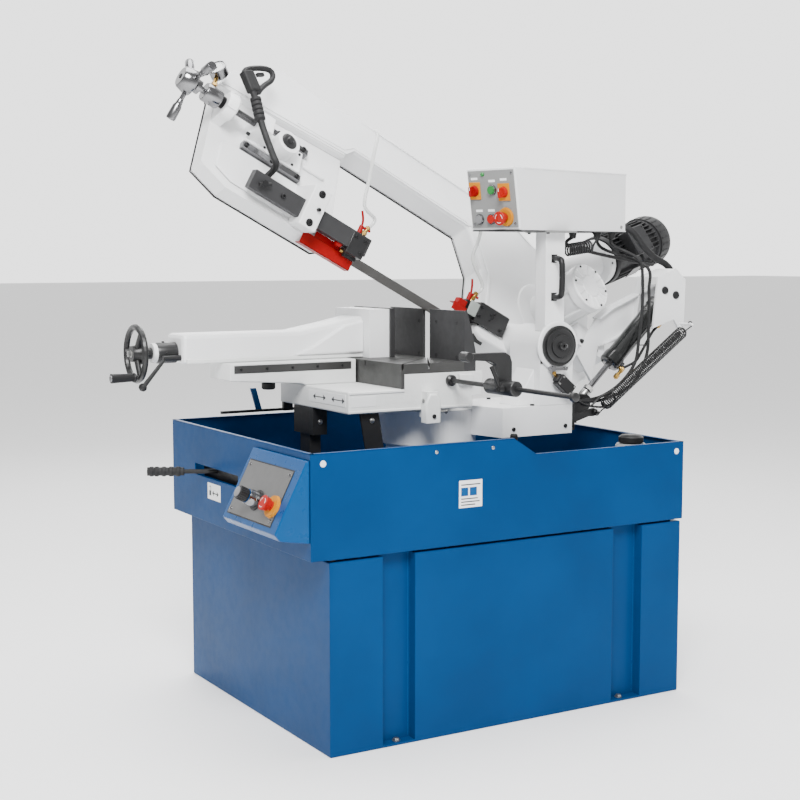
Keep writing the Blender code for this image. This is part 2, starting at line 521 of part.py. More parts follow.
def make_head():
    bow = soften(prism(OUTLINE, -0.030, 0.050, HEAD), 0.008, 2)
    low = [(-0.9, -0.1), (-0.39, -0.1), (-0.39, 0.315), (-0.42, 0.30), (-0.9, 0.262)]
    cut(bow, prism(low, 0.025, 0.08, HEAD))
    crest = [(-0.857, 0.275), (-0.42, 0.305), (-0.395, 0.335), (0.06, 0.335), (0.10, 0.36), *OUTLINE[16:20]]
    join(bow, prism(inset(crest, 0.0012), 0.04, 0.0525, HEAD))
    lug = rod((0.3215, -0.0217, 0.996), (0.3215, 0.06, 0.996), 0.055, sides=40)
    join(bow, lug)
    inner = inset(OUTLINE, WALL)
    shallow = prism(inner, -0.04, 0.021, HEAD)
    cut(bow, shallow)
    raised = [(-0.858, 0.268), (-0.42, 0.304), *OUTLINE[5:20]]
    upper = inset(raised, 2 * WALL)
    cut(bow, prism(upper, 0.01, 0.045, HEAD))
    cut(bow, box((-0.49, -0.022, -0.020), (-0.40, 0.022, 0.016), frame=HEAD))
    cut(bow, box((0.10, -0.022, -0.020), (0.14, 0.022, 0.016), frame=HEAD))
    cut(bow, box((-0.700, 0.155, 0.01), (-0.570, 0.200, 0.03), frame=HEAD))
    cut(bow, rod((DRIVE_S, WHEEL_T, 0.02), (DRIVE_S, WHEEL_T, 0.08), 0.022, frame=HEAD))
    cut(bow, rod((0.3215, -0.05, 0.996), (0.3215, 0.018, 0.996), 0.0204))
    join(bow, box((-0.850, 0.150, 0.0235), (-0.820, 0.205, 0.108), frame=HEAD))
    cut(bow, rod((-0.87, WHEEL_T, 0.080), (-0.80, WHEEL_T, 0.080), 0.0095, sides=24, frame=HEAD))
    piece("bow_frame", bow, "white")
    lid = prism(inset(OUTLINE, 0.001), -0.0323, -0.0303, HEAD)
    origin_to(lid, (0, 0.478, -0.032), HEAD)
    piece("rear_cover", lid, "white")

    shaft = rod((0.3215, -0.1903, 0.996), (0.3215, 0.0175, 0.996), 0.020)
    join(shaft, rod((0.3215, -0.1903, 0.996), (0.3215, -0.1753, 0.996), 0.059, sides=48))
    join(shaft, rod((0.3215, -0.198, 0.996), (0.3215, -0.185, 0.996), 0.030, sides=32))
    piece("pivot_cam", shaft, "dark")

    rim = WHEEL_RADIUS - BLADE_THICKNESS / 2 - GAP
    for name, s in (("idler_wheel", IDLER_S), ("drive_wheel", DRIVE_S)):
        profile = [(0.0153, 0.016), (0.034, 0.016), (0.036, 0.005), (rim - 0.018, 0.005), (rim - 0.016, 0.0145),
                   (rim, 0.0145), (rim, -0.0135), (rim - 0.016, -0.0135), (rim - 0.018, -0.005), (0.036, -0.005),
                   (0.034, -0.016), (0.0153, -0.016), (0.0153, 0.016)]
        piece(name, turned(profile, (s, WHEEL_T, 0), AX_Z, frame=HEAD, steps=72), "steel")
    piece("saw_blade", blade(), "steel")

    slide = soften(box((-0.745, 0.140, 0.0253), (-0.560, 0.215, 0.046), frame=HEAD), 0.003)
    join(slide, box((-0.745, 0.150, 0.04), (-0.700, 0.205, 0.108), frame=HEAD))
    join(slide, rod((IDLER_S, WHEEL_T, 0.03), (IDLER_S, WHEEL_T, 0.092), 0.036, frame=HEAD))
    join(slide, rod((IDLER_S, WHEEL_T, -0.020), (IDLER_S, WHEEL_T, 0.05), 0.0150, frame=HEAD))
    cut(slide, rod((-0.76, WHEEL_T, 0.080), (-0.690, WHEEL_T, 0.080), 0.0095, sides=24, frame=HEAD))
    piece("idler_slide", slide, "white")
    screw = rod((-0.985, WHEEL_T, 0.080), (-0.700, WHEEL_T, 0.080), 0.009, sides=24, frame=HEAD)
    join(screw, rod((-0.985, WHEEL_T, 0.080), (-0.930, WHEEL_T, 0.080), 0.020, frame=HEAD))
    join(screw, rod((-0.915, WHEEL_T, 0.080), (-0.865, WHEEL_T, 0.080), 0.024, frame=HEAD))
    for i in range(3):
        a = math.radians(100 + 120 * i)
        c = Vector((0, math.cos(a), math.sin(a)))
        mid = Vector((-0.958, WHEEL_T, 0.080))
        join(screw, rod(mid, mid + c * 0.098, 0.0065, 0.0065, sides=16, frame=HEAD))
        join(screw, rod(mid + c * 0.060, mid + c * 0.108, 0.009, 0.011, sides=16, frame=HEAD))
    piece("tension_handle", screw, "dark")

    bar = soften(box((-0.722, 0.007, 0.050), (-0.322, 0.060, 0.080), frame=GUIDE), 0.002)
    join(bar, box((-0.378, 0.002, -0.018), (-0.322, 0.034, 0.060), frame=GUIDE))
    cut(bar, box((-0.39, -0.01, -0.0009), (-0.30, 0.0145, 0.0009), frame=GUIDE))
    piece("guide_bar", bar, "steel")
    grip = soften(box((-0.556, -0.013, -0.03), (-0.50, 0.107, 0.100), frame=GUIDE), 0.003)
    cut(grip, box((-0.60, 0.0066, 0.0496), (-0.45, 0.0604, 0.0804), frame=GUIDE))
    cut(grip, box((-0.60, -0.3, -0.2), (-0.45, 0.3, 0.0253), frame=HEAD))
    piece("guide_clamp", grip, "white")
    nose = box((0.066, 0.002, -0.012), (0.1235, 0.05, 0.014), frame=GUIDE)
    join(nose, box((0.106, 0.022, -0.005), (0.1235, 0.07, 0.055), frame=GUIDE))
    join(nose, box((0.110, 0.022, 0.010), (0.215, 0.085, 0.055), frame=GUIDE))
    join(nose, box((0.058, 0.022, 0.026), (0.115, 0.070, 0.048), frame=GUIDE))
    cut(nose, box((0.1245, -0.2, -0.2), (0.3, 0.3, 0.0503), frame=HEAD))
    cut(nose, box((0.05, -0.01, -0.0009), (0.2, 0.0145, 0.0009), frame=GUIDE))
    piece("right_guide", nose, "dark")

    for name, at in (("left_valve", Vector((-0.363, 0.0605, 0.065))), ("right_valve", Vector((0.068, 0.0705, 0.037)))):
        tap = rod(at, at + Vector((0, 0.024, 0)), 0.007, sides=20, frame=GUIDE)
        join(tap, box(at + Vector((-0.004, 0.018, -0.004)), at + Vector((0.030, 0.024, 0.004)), frame=GUIDE))
        piece(name, tap, "blue")

    path = [(-0.666, 0.050, 0.0253), (-0.666, 0.050, 0.085), (-0.675, 0.052, 0.116), (-0.690, 0.060, 0.120),
            (-0.7463, 0.1436, 0.120), (-0.7784, 0.215, 0.120), (-0.800, 0.247, 0.120)]
    handle = tube(path, 0.0095, frame=HEAD)
    loop = [(-0.7784, 0.232, 0.120), (-0.825, 0.268, 0.120), (-0.833, 0.296, 0.120), (-0.7554, 0.356, 0.120),
            (-0.736, 0.328, 0.120), (-0.770, 0.270, 0.120)]
    join(handle, tube(loop, 0.008, frame=HEAD, closed=True, smooth=2))
    join(handle, rod((-0.666, 0.050, 0.0253), (-0.666, 0.050, 0.040), 0.018, sides=24, frame=HEAD))
    piece("head_handle", handle, "dark")
    along = Matrix.Rotation(math.atan2(0.060, 0.0776), 4, "Z")
    trigger = box((-0.012, -0.0215, -0.0045), (0.012, -0.0130, 0.0045),
                  frame=HEAD @ Matrix.Translation((-0.7925, 0.3235, 0.120)) @ along)
    piece("handle_trigger", trigger, "red")

    gear = rod((DRIVE_S, WHEEL_T, 0.0503), (DRIVE_S, WHEEL_T, 0.110), 0.062, frame=HEAD, sides=40)
    join(gear, rod((DRIVE_S, WHEEL_T, -0.020), (DRIVE_S, WHEEL_T, 0.06), 0.0150, frame=HEAD))
    join(gear, rod((DRIVE_S, WHEEL_T, 0.100), (DRIVE_S, WHEEL_T, 0.230), 0.066, frame=HEAD, sides=40))
    join(gear, rod((DRIVE_S, WHEEL_T, 0.228), (DRIVE_S, WHEEL_T, 0.252), 0.075, frame=HEAD, sides=40))
    m0 = Vector((MOTOR_S, MOTOR_T, MOTOR_H))
    dirm = Vector((0.70711, 0.70711, 0))
    join(gear, rod(m0 - dirm * 0.10, m0 + dirm * 0.165, 0.048, frame=HEAD, sides=32))
    join(gear, rod(m0 + dirm * 0.155, m0 + dirm * 0.1897, 0.072, frame=HEAD, sides=32))
    piece("gearbox", gear, "white")
    motor = rod(m0 + dirm * 0.19, m0 + dirm * 0.49, MOTOR_R, frame=HEAD, sides=40)
    join(motor, rod(m0 + dirm * 0.485, m0 + dirm * 0.55, MOTOR_R + 0.004, MOTOR_R, frame=HEAD, sides=40))
    corner = HEAD @ Matrix.Translation(m0) @ Matrix.Rotation(math.radians(45), 4, "Z")
    join(motor, soften(box((0.26, -0.042, MOTOR_R - 0.03), (0.36, 0.042, MOTOR_R + 0.035), frame=corner), 0.004))
    piece("motor", motor, "dark")

    plate = [(0.50, 0.955), (0.57, 1.060), (0.622, 1.095), (0.800, 1.165), (0.832, 1.172), (0.848, 1.155),
             (0.836, 1.060), (0.8008, 1.0281), (0.6016, 0.9818), (0.580, 0.980), (0.556, 0.87)]
    tail = prism(plate, 0.03, 0.042, UPRIGHT)
    near = [(0.7353, 1.1923), (0.8043, 1.2173), (0.8458, 1.1811), (0.842, 1.060), (0.840, 1.036), (0.818, 1.034),
            (0.800, 1.060), (0.7177, 1.0346)]
    join(tail, prism(near, 0.128, 0.136, UPRIGHT))
    join(tail, prism([(0.829, 1.08), (0.841, 1.08), (0.8435, 1.15), (0.831, 1.15)], 0.035, 0.13, UPRIGHT))
    join(tail, rod((0.806, -0.14, 1.135), (0.806, -0.035, 1.135), 0.0075, sides=24))
    join(tail, rod((0.828, -0.130, 1.046), (0.828, -0.190, 1.046), 0.0045, sides=20))
    join(tail, box((0.44, 0.045, 0.0503), (0.56, 0.125, 0.155), frame=HEAD))
    piece("tail_arm", tail, "white")


MOTOR_S = 0.3962
MOTOR_T = 0.2935
MOTOR_H = 0.140
MOTOR_R = 0.080


def make_cylinder():
    top = Vector((0.806, -0.09, 1.135))
    low = Vector((0.467, -0.09, 0.819))
    u = (low - top).normalized()
    reach = (low - top).length
    barrel = rod(top + u * 0.040, top + u * 0.300, 0.030)
    origin_to(barrel, top)
    join(barrel, rod(top + u * 0.010, top + u * 0.045, 0.013, sides=24))
    join(barrel, rod(top - Vector((0, 0.016, 0)), top + Vector((0, 0.016, 0)), 0.018, sides=32))
    cut(barrel, rod(top - Vector((0, 0.04, 0)), top + Vector((0, 0.04, 0)), 0.0079, sides=24))
    cut(barrel, rod(top + u * 0.085, top + u * 0.34, 0.0097, sides=24))
    piece("cylinder_barrel", barrel, "dark")
    stem = rod(top + u * 0.112, top + u * (reach - 0.01), 0.0092, sides=24)
    join(stem, rod(top + u * (reach - 0.045), top + u * (reach - 0.025), 0.013, sides=6))
    join(stem, rod(low - Vector((0, 0.0105, 0)), low + Vector((0, 0.0105, 0)), 0.014, sides=32))
    join(stem, rod(low - Vector((0, 0.034, 0)), low + Vector((0, 0.034, 0)), 0.005, sides=20))
    piece("cylinder_rod", stem, "steel")

    hook = Vector((0.828, -0.179, 1.046))
    eye = Vector((0.469, -0.179, 0.793))
    d = (eye - hook).normalized()
    length = (eye - hook).length
    side = Vector((0, 1, 0))
    up = d.cross(side).normalized()
    pts = []
    for i in range(7):
        a = math.radians(-110 + 220 * i / 6)
        pts.append(hook + d * (-0.0085 * math.cos(a)) + up * (0.0085 * math.sin(a)))
    turns = 20
    begin = 0.045
    finish = length - 0.045
    pts.append(hook + d * (begin - 0.014) + up * 0.006)
    for i in range(turns * 10 + 1):
        a = i * math.tau / 10
        x = begin + (finish - begin) * i / (turns * 10)
        pts.append(hook.lerp(eye, x / length) + (up * math.cos(a) + side * math.sin(a)) * 0.018)
    pts.append(eye - d * (begin - 0.014) + up * 0.006)
    for i in range(7):
        a = math.radians(110 - 220 * i / 6)
        pts.append(eye + d * (0.0085 * math.cos(a)) + up * (0.0085 * math.sin(a)))
    coil = tube(pts, 0.0028, smooth=0)
    piece("return_spring", coil, "rubber")


make_base()
make_vise()
make_swivel()
make_head()
make_cylinder()
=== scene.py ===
import math

import bmesh
import bpy
from mathutils import Matrix, Vector


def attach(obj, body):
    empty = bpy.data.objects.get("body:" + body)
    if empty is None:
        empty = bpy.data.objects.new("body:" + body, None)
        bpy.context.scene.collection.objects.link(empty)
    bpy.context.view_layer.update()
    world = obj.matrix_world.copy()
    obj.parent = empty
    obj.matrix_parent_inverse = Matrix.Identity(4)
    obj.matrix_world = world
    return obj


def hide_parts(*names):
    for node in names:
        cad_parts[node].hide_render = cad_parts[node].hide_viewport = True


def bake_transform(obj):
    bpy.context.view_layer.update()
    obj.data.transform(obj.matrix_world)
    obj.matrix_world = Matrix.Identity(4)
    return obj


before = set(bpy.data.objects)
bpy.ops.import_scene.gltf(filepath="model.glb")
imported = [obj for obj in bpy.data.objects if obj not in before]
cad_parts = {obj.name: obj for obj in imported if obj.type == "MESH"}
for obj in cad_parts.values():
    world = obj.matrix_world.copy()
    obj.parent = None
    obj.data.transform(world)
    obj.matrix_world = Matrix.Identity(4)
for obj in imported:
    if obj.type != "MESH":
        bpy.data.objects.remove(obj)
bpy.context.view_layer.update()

# ---------------------------------------------------------------- frames
AX_X, AX_Y, AX_Z = Vector((1, 0, 0)), Vector((0, 1, 0)), Vector((0, 0, 1))
RAISE, TILT = math.radians(28.0), math.radians(30.0)
START = Vector((0.055, 0.070, 1.095))
ALONG = Vector((math.cos(RAISE), 0, -math.sin(RAISE)))
RISE = Vector((math.sin(RAISE), 0, math.cos(RAISE)))
LEAN = RISE * math.cos(TILT) + AX_Y * math.sin(TILT)
FRONT = RISE * math.sin(TILT) - AX_Y * math.cos(TILT)


def basis(x_dir, y_dir, z_dir, origin):
    m = Matrix((x_dir, y_dir, z_dir)).transposed().to_4x4()
    m.translation = origin
    return m


UPRIGHT = basis(AX_X, AX_Z, -AX_Y, Vector((0, 0, 0)))
HEAD = basis(ALONG, LEAN, FRONT, START)
GUIDE = basis(ALONG, RISE, -AX_Y, START)
BOX = Matrix.Translation((0.154, -0.225, 1.328)) @ Matrix.Rotation(math.radians(15.0), 4, "Z")
PANEL_UP = Vector((-0.028, 0, 0.175)).normalized()
PANEL = BOX @ basis(AX_Y, PANEL_UP, AX_Y.cross(PANEL_UP), Vector((0, 0, 0)))
FACE_UP = Vector((0.4534, 0, 0.8915))
PULPIT = basis(AX_Y, FACE_UP, AX_Y.cross(FACE_UP), Vector((-0.631, 0, 0.758)))
WHEEL_T, IDLER_S, DRIVE_S = 0.1775, -0.637, 0.385
MOTOR = HEAD @ Matrix.Translation((0.3962, 0.2935, 0.140)) @ Matrix.Rotation(math.radians(45), 4, "Z")


# ---------------------------------------------------------------- materials
DEPTH = 0.62  # share of its colour that a non-white surface keeps under the bright studio


def surface(name, colour, rough, metal=0.0, vary=0.10, grain=260.0, bump=0.12, lumps=0.0, scuff=0.0,
            scuff_colour=(0.5, 0.5, 0.5), edge=0.0012, coat=0.0, brushed=None, alpha=1.0, glow=None, spec=0.3):
    mat = bpy.data.materials.new(name)
    mat.use_nodes = True
    tree = mat.node_tree
    shader = tree.nodes["Principled BSDF"]
    if min(colour) < 0.6:  # the whites keep their full strength
        colour = tuple(c * DEPTH for c in colour)
        scuff_colour = tuple(c * DEPTH for c in scuff_colour)

    def node(kind, **values):
        made = tree.nodes.new(kind)
        for key, value in values.items():
            if key.startswith("_"):
                setattr(made, key[1:], value)
            else:
                made.inputs[key.replace("__", " ")].default_value = value
        return made

    place = node("ShaderNodeTexCoord")
    where = place.outputs["Object"]
    if brushed is not None:
        stretch = node("ShaderNodeMapping")
        stretch.inputs["Scale"].default_value = brushed
        tree.links.new(where, stretch.inputs["Vector"])
        fine_from = stretch.outputs["Vector"]
    else:
        fine_from = where

    def noise(scale, detail, source, roughness=0.55):
        made = node("ShaderNodeTexNoise", Scale=scale, Detail=detail, Roughness=roughness)
        tree.links.new(source, made.inputs["Vector"])
        return made.outputs["Fac"]

    def spread(source, low, high, to_low, to_high):
        made = node("ShaderNodeMapRange")
        for key, value in (("From Min", low), ("From Max", high), ("To Min", to_low), ("To Max", to_high)):
            made.inputs[key].default_value = value
        tree.links.new(source, made.inputs["Value"])
        return made.outputs["Result"]

    def blend(factor, a, b):
        made = node("ShaderNodeMix", _data_type="RGBA")
        tree.links.new(factor, made.inputs["Factor"])
        for socket, value in ((made.inputs[6], a), (made.inputs[7], b)):
            if isinstance(value, tuple):
                socket.default_value = (*value, 1.0)
            else:
                tree.links.new(value, socket)
        return made.outputs[2]

    broad = noise(4.0, 5.0, where)
    middle = noise(38.0, 6.0, where)
    fine = noise(grain, 3.0, fine_from)
    darker = tuple(c * (1 - vary) for c in colour)
    lighter = tuple(min(1.0, c * (1 + 0.6 * vary)) for c in colour)
    tint = blend(spread(broad, 0.35, 0.65, 0.0, 1.0), darker, lighter)
    speck = blend(spread(fine, 0.62, 0.80, 0.0, 0.5), tint, darker)
    shine = spread(middle, 0.3, 0.7, rough * 0.82, min(1.0, rough * 1.2))
    if scuff > 0:
        mask = spread(noise(17.0, 9.0, where, 0.7), 0.70 - 0.12 * scuff, 0.80, 0.0, 0.8)
        speck = blend(mask, speck, scuff_colour)
    tree.links.new(speck, shader.inputs["Base Color"])
    tree.links.new(shine, shader.inputs["Roughness"])
    shader.inputs["Metallic"].default_value = metal
    shader.inputs["Specular IOR Level"].default_value = spec
    shader.inputs["Coat Weight"].default_value = coat
    shader.inputs["Coat Roughness"].default_value = 0.2
    if alpha < 1:
        shader.inputs["Alpha"].default_value = alpha
    if glow is not None:
        shader.inputs["Emission Color"].default_value = (*glow, 1.0)
        shader.inputs["Emission Strength"].default_value = 0.25
    small = node("ShaderNodeBump", Strength=bump, Distance=0.0006)
    tree.links.new(fine, small.inputs["Height"])
    last = small
    if lumps > 0:
        big = node("ShaderNodeBump", Strength=lumps, Distance=0.004)
        tree.links.new(middle, big.inputs["Height"])
        tree.links.new(small.outputs["Normal"], big.inputs["Normal"])
        last = big
    if edge > 0:
        rounder = node("ShaderNodeBevel", _samples=4, Radius=edge)
        tree.links.new(rounder.outputs["Normal"], small.inputs["Normal"])
    tree.links.new(last.outputs["Normal"], shader.inputs["Normal"])
    return mat


MATS = {
    "cast_white": surface("cast_white", (0.80, 0.805, 0.81), 0.42, vary=0.04, grain=420, bump=0.30, lumps=0.10,
                          scuff=0.10, scuff_colour=(0.62, 0.62, 0.61), edge=0.0025, coat=0.15),
    "sheet_white": surface("sheet_white", (0.74, 0.745, 0.75), 0.36, vary=0.03, grain=900, bump=0.10, scuff=0.05,
                           scuff_colour=(0.6, 0.6, 0.6), coat=0.2),
    "rough_white": surface("rough_white", (0.72, 0.73, 0.72), 0.55, vary=0.07, grain=160, bump=0.6, lumps=0.35,
                           scuff=0.25, scuff_colour=(0.5, 0.5, 0.48), edge=0.002),
    "blue": surface("blue", (0.0, 0.060, 0.21), 0.34, vary=0.10, grain=1200, bump=0.08, scuff=0.06,
                    scuff_colour=(0.002, 0.07, 0.25), edge=0.0015, spec=0.07),
    "blue_light": surface("blue_light", (0.0, 0.085, 0.29), 0.3, vary=0.05, grain=1200, bump=0.08, spec=0.2),
    "jaw": surface("jaw", (0.085, 0.085, 0.088), 0.46, metal=0.55, vary=0.22, grain=520, bump=0.22, scuff=0.45,
                   scuff_colour=(0.19, 0.19, 0.19)),
    "table": surface("table", (0.13, 0.13, 0.128), 0.40, metal=0.7, vary=0.25, grain=420, bump=0.25, scuff=0.6,
                     scuff_colour=(0.30, 0.30, 0.29), brushed=(1.0, 9.0, 1.0)),
    "black_cast": surface("black_cast", (0.022, 0.022, 0.023), 0.36, vary=0.25, grain=300, bump=0.35, lumps=0.2,
                          scuff=0.15, scuff_colour=(0.07, 0.07, 0.07), coat=0.2),
    "black": surface("black", (0.017, 0.017, 0.018), 0.42, vary=0.2, grain=700, bump=0.18, scuff=0.08,
                     scuff_colour=(0.05, 0.05, 0.05)),
    "rubber": surface("rubber", (0.02, 0.02, 0.021), 0.62, vary=0.2, grain=500, bump=0.3, scuff=0.15,
                      scuff_colour=(0.055, 0.055, 0.055)),
    "gloss_black": surface("gloss_black", (0.012, 0.013, 0.013), 0.16, vary=0.1, grain=500, bump=0.03, coat=0.6),
    "fin_black": surface("fin_black", (0.025, 0.025, 0.027), 0.5, vary=0.2, grain=260, bump=0.4, lumps=0.1),
    "steel": surface("steel", (0.34, 0.34, 0.35), 0.24, metal=1.0, vary=0.10, grain=600, bump=0.08, scuff=0.1,
                     scuff_colour=(0.36, 0.35, 0.34)),
    "chrome": surface("chrome", (0.36, 0.36, 0.37), 0.17, metal=1.0, vary=0.05, grain=700, bump=0.02),
    "blade": surface("blade", (0.20, 0.195, 0.19), 0.33, metal=0.85, vary=0.15, grain=500, bump=0.12, scuff=0.3,
                     scuff_colour=(0.33, 0.32, 0.31), edge=0.0, brushed=(0.6, 8.0, 8.0)),
    "plate": surface("plate", (0.24, 0.24, 0.238), 0.35, metal=0.6, vary=0.05, grain=380, bump=0.10,
                     brushed=(1.0, 1.0, 12.0)),
    "screw": surface("screw", (0.045, 0.045, 0.047), 0.34, metal=0.6, vary=0.2, grain=600, bump=0.1, edge=0.0004),
    "zinc": surface("zinc", (0.55, 0.55, 0.54), 0.3, metal=0.9, vary=0.12, grain=500, bump=0.12, edge=0.0004),
    "brass": surface("brass", (0.62, 0.38, 0.10), 0.25, metal=1.0, vary=0.12, grain=500, bump=0.08, edge=0.0005),
    "red": surface("red", (0.40, 0.003, 0.004), 0.34, vary=0.08, grain=800, bump=0.1, spec=0.15),
    "orange_red": surface("orange_red", (0.55, 0.012, 0.006), 0.3, vary=0.06, grain=800, bump=0.06, spec=0.2),
    "yellow": surface("yellow", (0.80, 0.30, 0.004), 0.36, vary=0.06, grain=700, bump=0.1, spec=0.2),
    "green": surface("green", (0.02, 0.28, 0.05), 0.32, vary=0.08, grain=700, bump=0.08, coat=0.2),
    "pale_green": surface("pale_green", (0.42, 0.46, 0.43), 0.4, vary=0.05, grain=700, bump=0.08),
    "grey": surface("grey", (0.30, 0.30, 0.31), 0.42, vary=0.08, grain=700, bump=0.1),
    "panel_grey": surface("panel_grey", (0.33, 0.335, 0.33), 0.4, vary=0.05, grain=800, bump=0.06),
    "label": surface("label", (0.78, 0.79, 0.79), 0.4, vary=0.03, grain=900, bump=0.03, edge=0.0),
    "ink": surface("ink", (0.06, 0.065, 0.07), 0.5, vary=0.1, grain=900, bump=0.03, edge=0.0),
    "hose": surface("hose", (0.66, 0.67, 0.66), 0.22, vary=0.05, grain=500, bump=0.05, edge=0.0, coat=0.5, alpha=0.72),
    "pump": surface("pump", (0.35, 0.36, 0.37), 0.45, vary=0.1, grain=400, bump=0.2),
}

NODE_LOOK = {
    "cabinet": "blue", "chip_tray": "blue", "pulpit_housing": "blue_light", "coolant_knob": "black",
    "base_estop_collar": "yellow", "base_estop_button": "orange_red", "bed_pedestal": "cast_white",
    "bed_casting": "rough_white", "bed_table": "table", "fixed_jaw_near": "jaw", "fixed_jaw_far": "jaw",
    "support_post": "black", "strap_plate": "black", "coolant_pump": "pump", "length_stop_rod": "black_cast",
    "length_stop_slider": "black_cast", "length_stop_lever": "black", "swivel_lock_lever": "rubber",
    "vise_base": "rough_white", "vise_ram": "cast_white", "jaw_plate": "jaw", "handwheel": "black_cast",
    "crank_handle": "black", "vise_quick_lever": "black_cast", "swivel_arm": "cast_white",
    "pivot_column": "cast_white", "control_post": "cast_white", "electric_box": "sheet_white",
    "control_panel": "panel_grey", "main_switch_knob": "red", "speed_switch_knob": "orange_red",
    "start_button": "green", "grey_button": "grey", "red_button": "orange_red", "panel_estop_collar": "yellow",
    "panel_estop_button": "orange_red", "limit_switch": "black", "limit_lever": "steel", "rod_bracket": "black_cast",
    "bow_frame": "cast_white", "rear_cover": "sheet_white", "pivot_cam": "black_cast", "idler_wheel": "table",
    "drive_wheel": "table", "saw_blade": "blade", "idler_slide": "cast_white", "tension_handle": "chrome",
    "guide_bar": "jaw", "guide_clamp": "cast_white", "right_guide": "black_cast", "left_valve": "red",
    "right_valve": "red", "head_handle": "rubber", "handle_trigger": "black", "gearbox": "cast_white",
    "motor": "fin_black", "tail_arm": "sheet_white", "cylinder_barrel": "gloss_black", "cylinder_rod": "chrome",
    "return_spring": "black",
}
for name, look in NODE_LOOK.items():
    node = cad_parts[name]
    node.data.materials.clear()
    node.data.materials.append(MATS[look])


# ---------------------------------------------------------------- mesh parts
def ring(centre, x_dir, y_dir, r, n, hexagon=False):
    points = []
    for i in range(n):
        a = math.tau * i / n
        size = r
        if hexagon:
            size = r / math.cos((a % (math.pi / 3)) - math.pi / 6) * math.cos(math.pi / 6)
        points.append(centre + x_dir * (size * math.cos(a)) + y_dir * (size * math.sin(a)))
    return points


def lathe(profile, start, axis, n=28):
    axis = Vector(axis).normalized()
    x_dir = axis.orthogonal().normalized()
    y_dir = axis.cross(x_dir)
    start = Vector(start)
    verts, faces = [], []
    for row in profile:
        r, z = row[0], row[1]
        verts += ring(start + axis * z, x_dir, y_dir, max(r, 1e-5), n, len(row) > 2)
    for k in range(len(profile) - 1):
        for i in range(n):
            j = (i + 1) % n
            faces.append((k * n + i, k * n + j, (k + 1) * n + j, (k + 1) * n + i))
    faces.append(tuple(range(n))[::-1])
    last = (len(profile) - 1) * n
    faces.append(tuple(range(last, last + n)))
    return verts, faces


def cyl(a, b, r, r2=None, n=28):
    a, b = Vector(a), Vector(b)
    return lathe([(r, 0), (r if r2 is None else r2, (b - a).length)], a, b - a, n)


def box(low, high):
    (x0, y0, z0), (x1, y1, z1) = low, high
    verts = [Vector(p) for p in ((x0, y0, z0), (x1, y0, z0), (x1, y1, z0), (x0, y1, z0), (x0, y0, z1), (x1, y0, z1),
                                 (x1, y1, z1), (x0, y1, z1))]
    return verts, [(3, 2, 1, 0), (4, 5, 6, 7), (0, 1, 5, 4), (1, 2, 6, 5), (2, 3, 7, 6), (3, 0, 4, 7)]


def prism(points, low, high):
    n = len(points)
    verts = [Vector((x, y, low)) for x, y in points] + [Vector((x, y, high)) for x, y in points]
    sides = [(i, (i + 1) % n, n + (i + 1) % n, n + i) for i in range(n)]
    return verts, [tuple(range(n))[::-1], tuple(range(n, 2 * n)), *sides]


def smooth_path(points, steps, closed=False):
    pts = [Vector(p) for p in points]
    n = len(pts)
    out = []
    for i in range(n if closed else n - 1):
        if closed:
            a, b, c, d = pts[i - 1], pts[i], pts[(i + 1) % n], pts[(i + 2) % n]
        else:
            a, b, c, d = pts[max(i - 1, 0)], pts[i], pts[i + 1], pts[min(i + 2, n - 1)]
        for k in range(steps):
            t = k / steps
            out.append(0.5 * (2 * b + (c - a) * t + (2 * a - 5 * b + 4 * c - d) * t * t
                              + (3 * b - a - 3 * c + d) * t ** 3))
    if not closed:
        out.append(pts[-1])
    return out


def tube(points, r, n=10, steps=6, closed=False):
    path = smooth_path(points, steps, closed) if steps > 1 else [Vector(p) for p in points]
    count = len(path)
    verts, faces = [], []
    tangent = (path[1] - path[0]).normalized()
    normal = tangent.orthogonal().normalized()
    for i, p in enumerate(path):
        if closed:
            now = (path[(i + 1) % count] - path[i - 1]).normalized()
        else:
            now = (path[min(i + 1, count - 1)] - path[max(i - 1, 0)]).normalized()
        normal = (tangent.rotation_difference(now) @ normal).normalized()
        tangent = now
        verts += ring(p, normal, tangent.cross(normal), r, n)
    for k in range(count if closed else count - 1):
        for i in range(n):
            j = (i + 1) % n
            m = (k + 1) % count
            faces.append((k * n + i, k * n + j, m * n + j, m * n + i))
    if not closed:
        faces.append(tuple(range(n))[::-1])
        faces.append(tuple(range((count - 1) * n, count * n)))
    return verts, faces


def placed(matrix, *parts):
    return [([matrix @ v for v in verts], faces) for verts, faces in parts]


def solid(name, body, look, parts, bevel=0.0, segments=2, stands_for=(), smooth=35.0, between=None):
    verts, faces = [], []
    for part_verts, part_faces in parts:
        base = len(verts)
        verts += part_verts
        faces += [tuple(base + i for i in f) for f in part_faces]
    mesh = bpy.data.meshes.new(name)
    mesh.from_pydata(verts, [], faces)
    bm = bmesh.new()
    bm.from_mesh(mesh)
    bmesh.ops.recalc_face_normals(bm, faces=bm.faces)
    bm.to_mesh(mesh)
    bm.free()
    mesh.shade_smooth()
    mesh.set_sharp_from_angle(angle=math.radians(smooth))
    mesh.materials.append(MATS[look])
    obj = bpy.data.objects.new(name, mesh)
    bpy.context.scene.collection.objects.link(obj)
    if bevel > 0:
        step = obj.modifiers.new("Bevel", "BEVEL")
        step.width = bevel
        step.segments = segments
        step.limit_method = "ANGLE"
        step.angle_limit = math.radians(40)
    if between:
        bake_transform(obj)
    else:
        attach(obj, body)
    if stands_for:
        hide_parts(*stands_for)
    return obj


def cap_screw(at, out, r=0.0045, h=0.004):
    """A socket-head screw with its hexagon socket."""
    return lathe([(r, 0), (r, h * 0.85), (r * 0.88, h), (r * 0.55, h, 1), (r * 0.55, h * 0.4, 1)], at, out, 18)


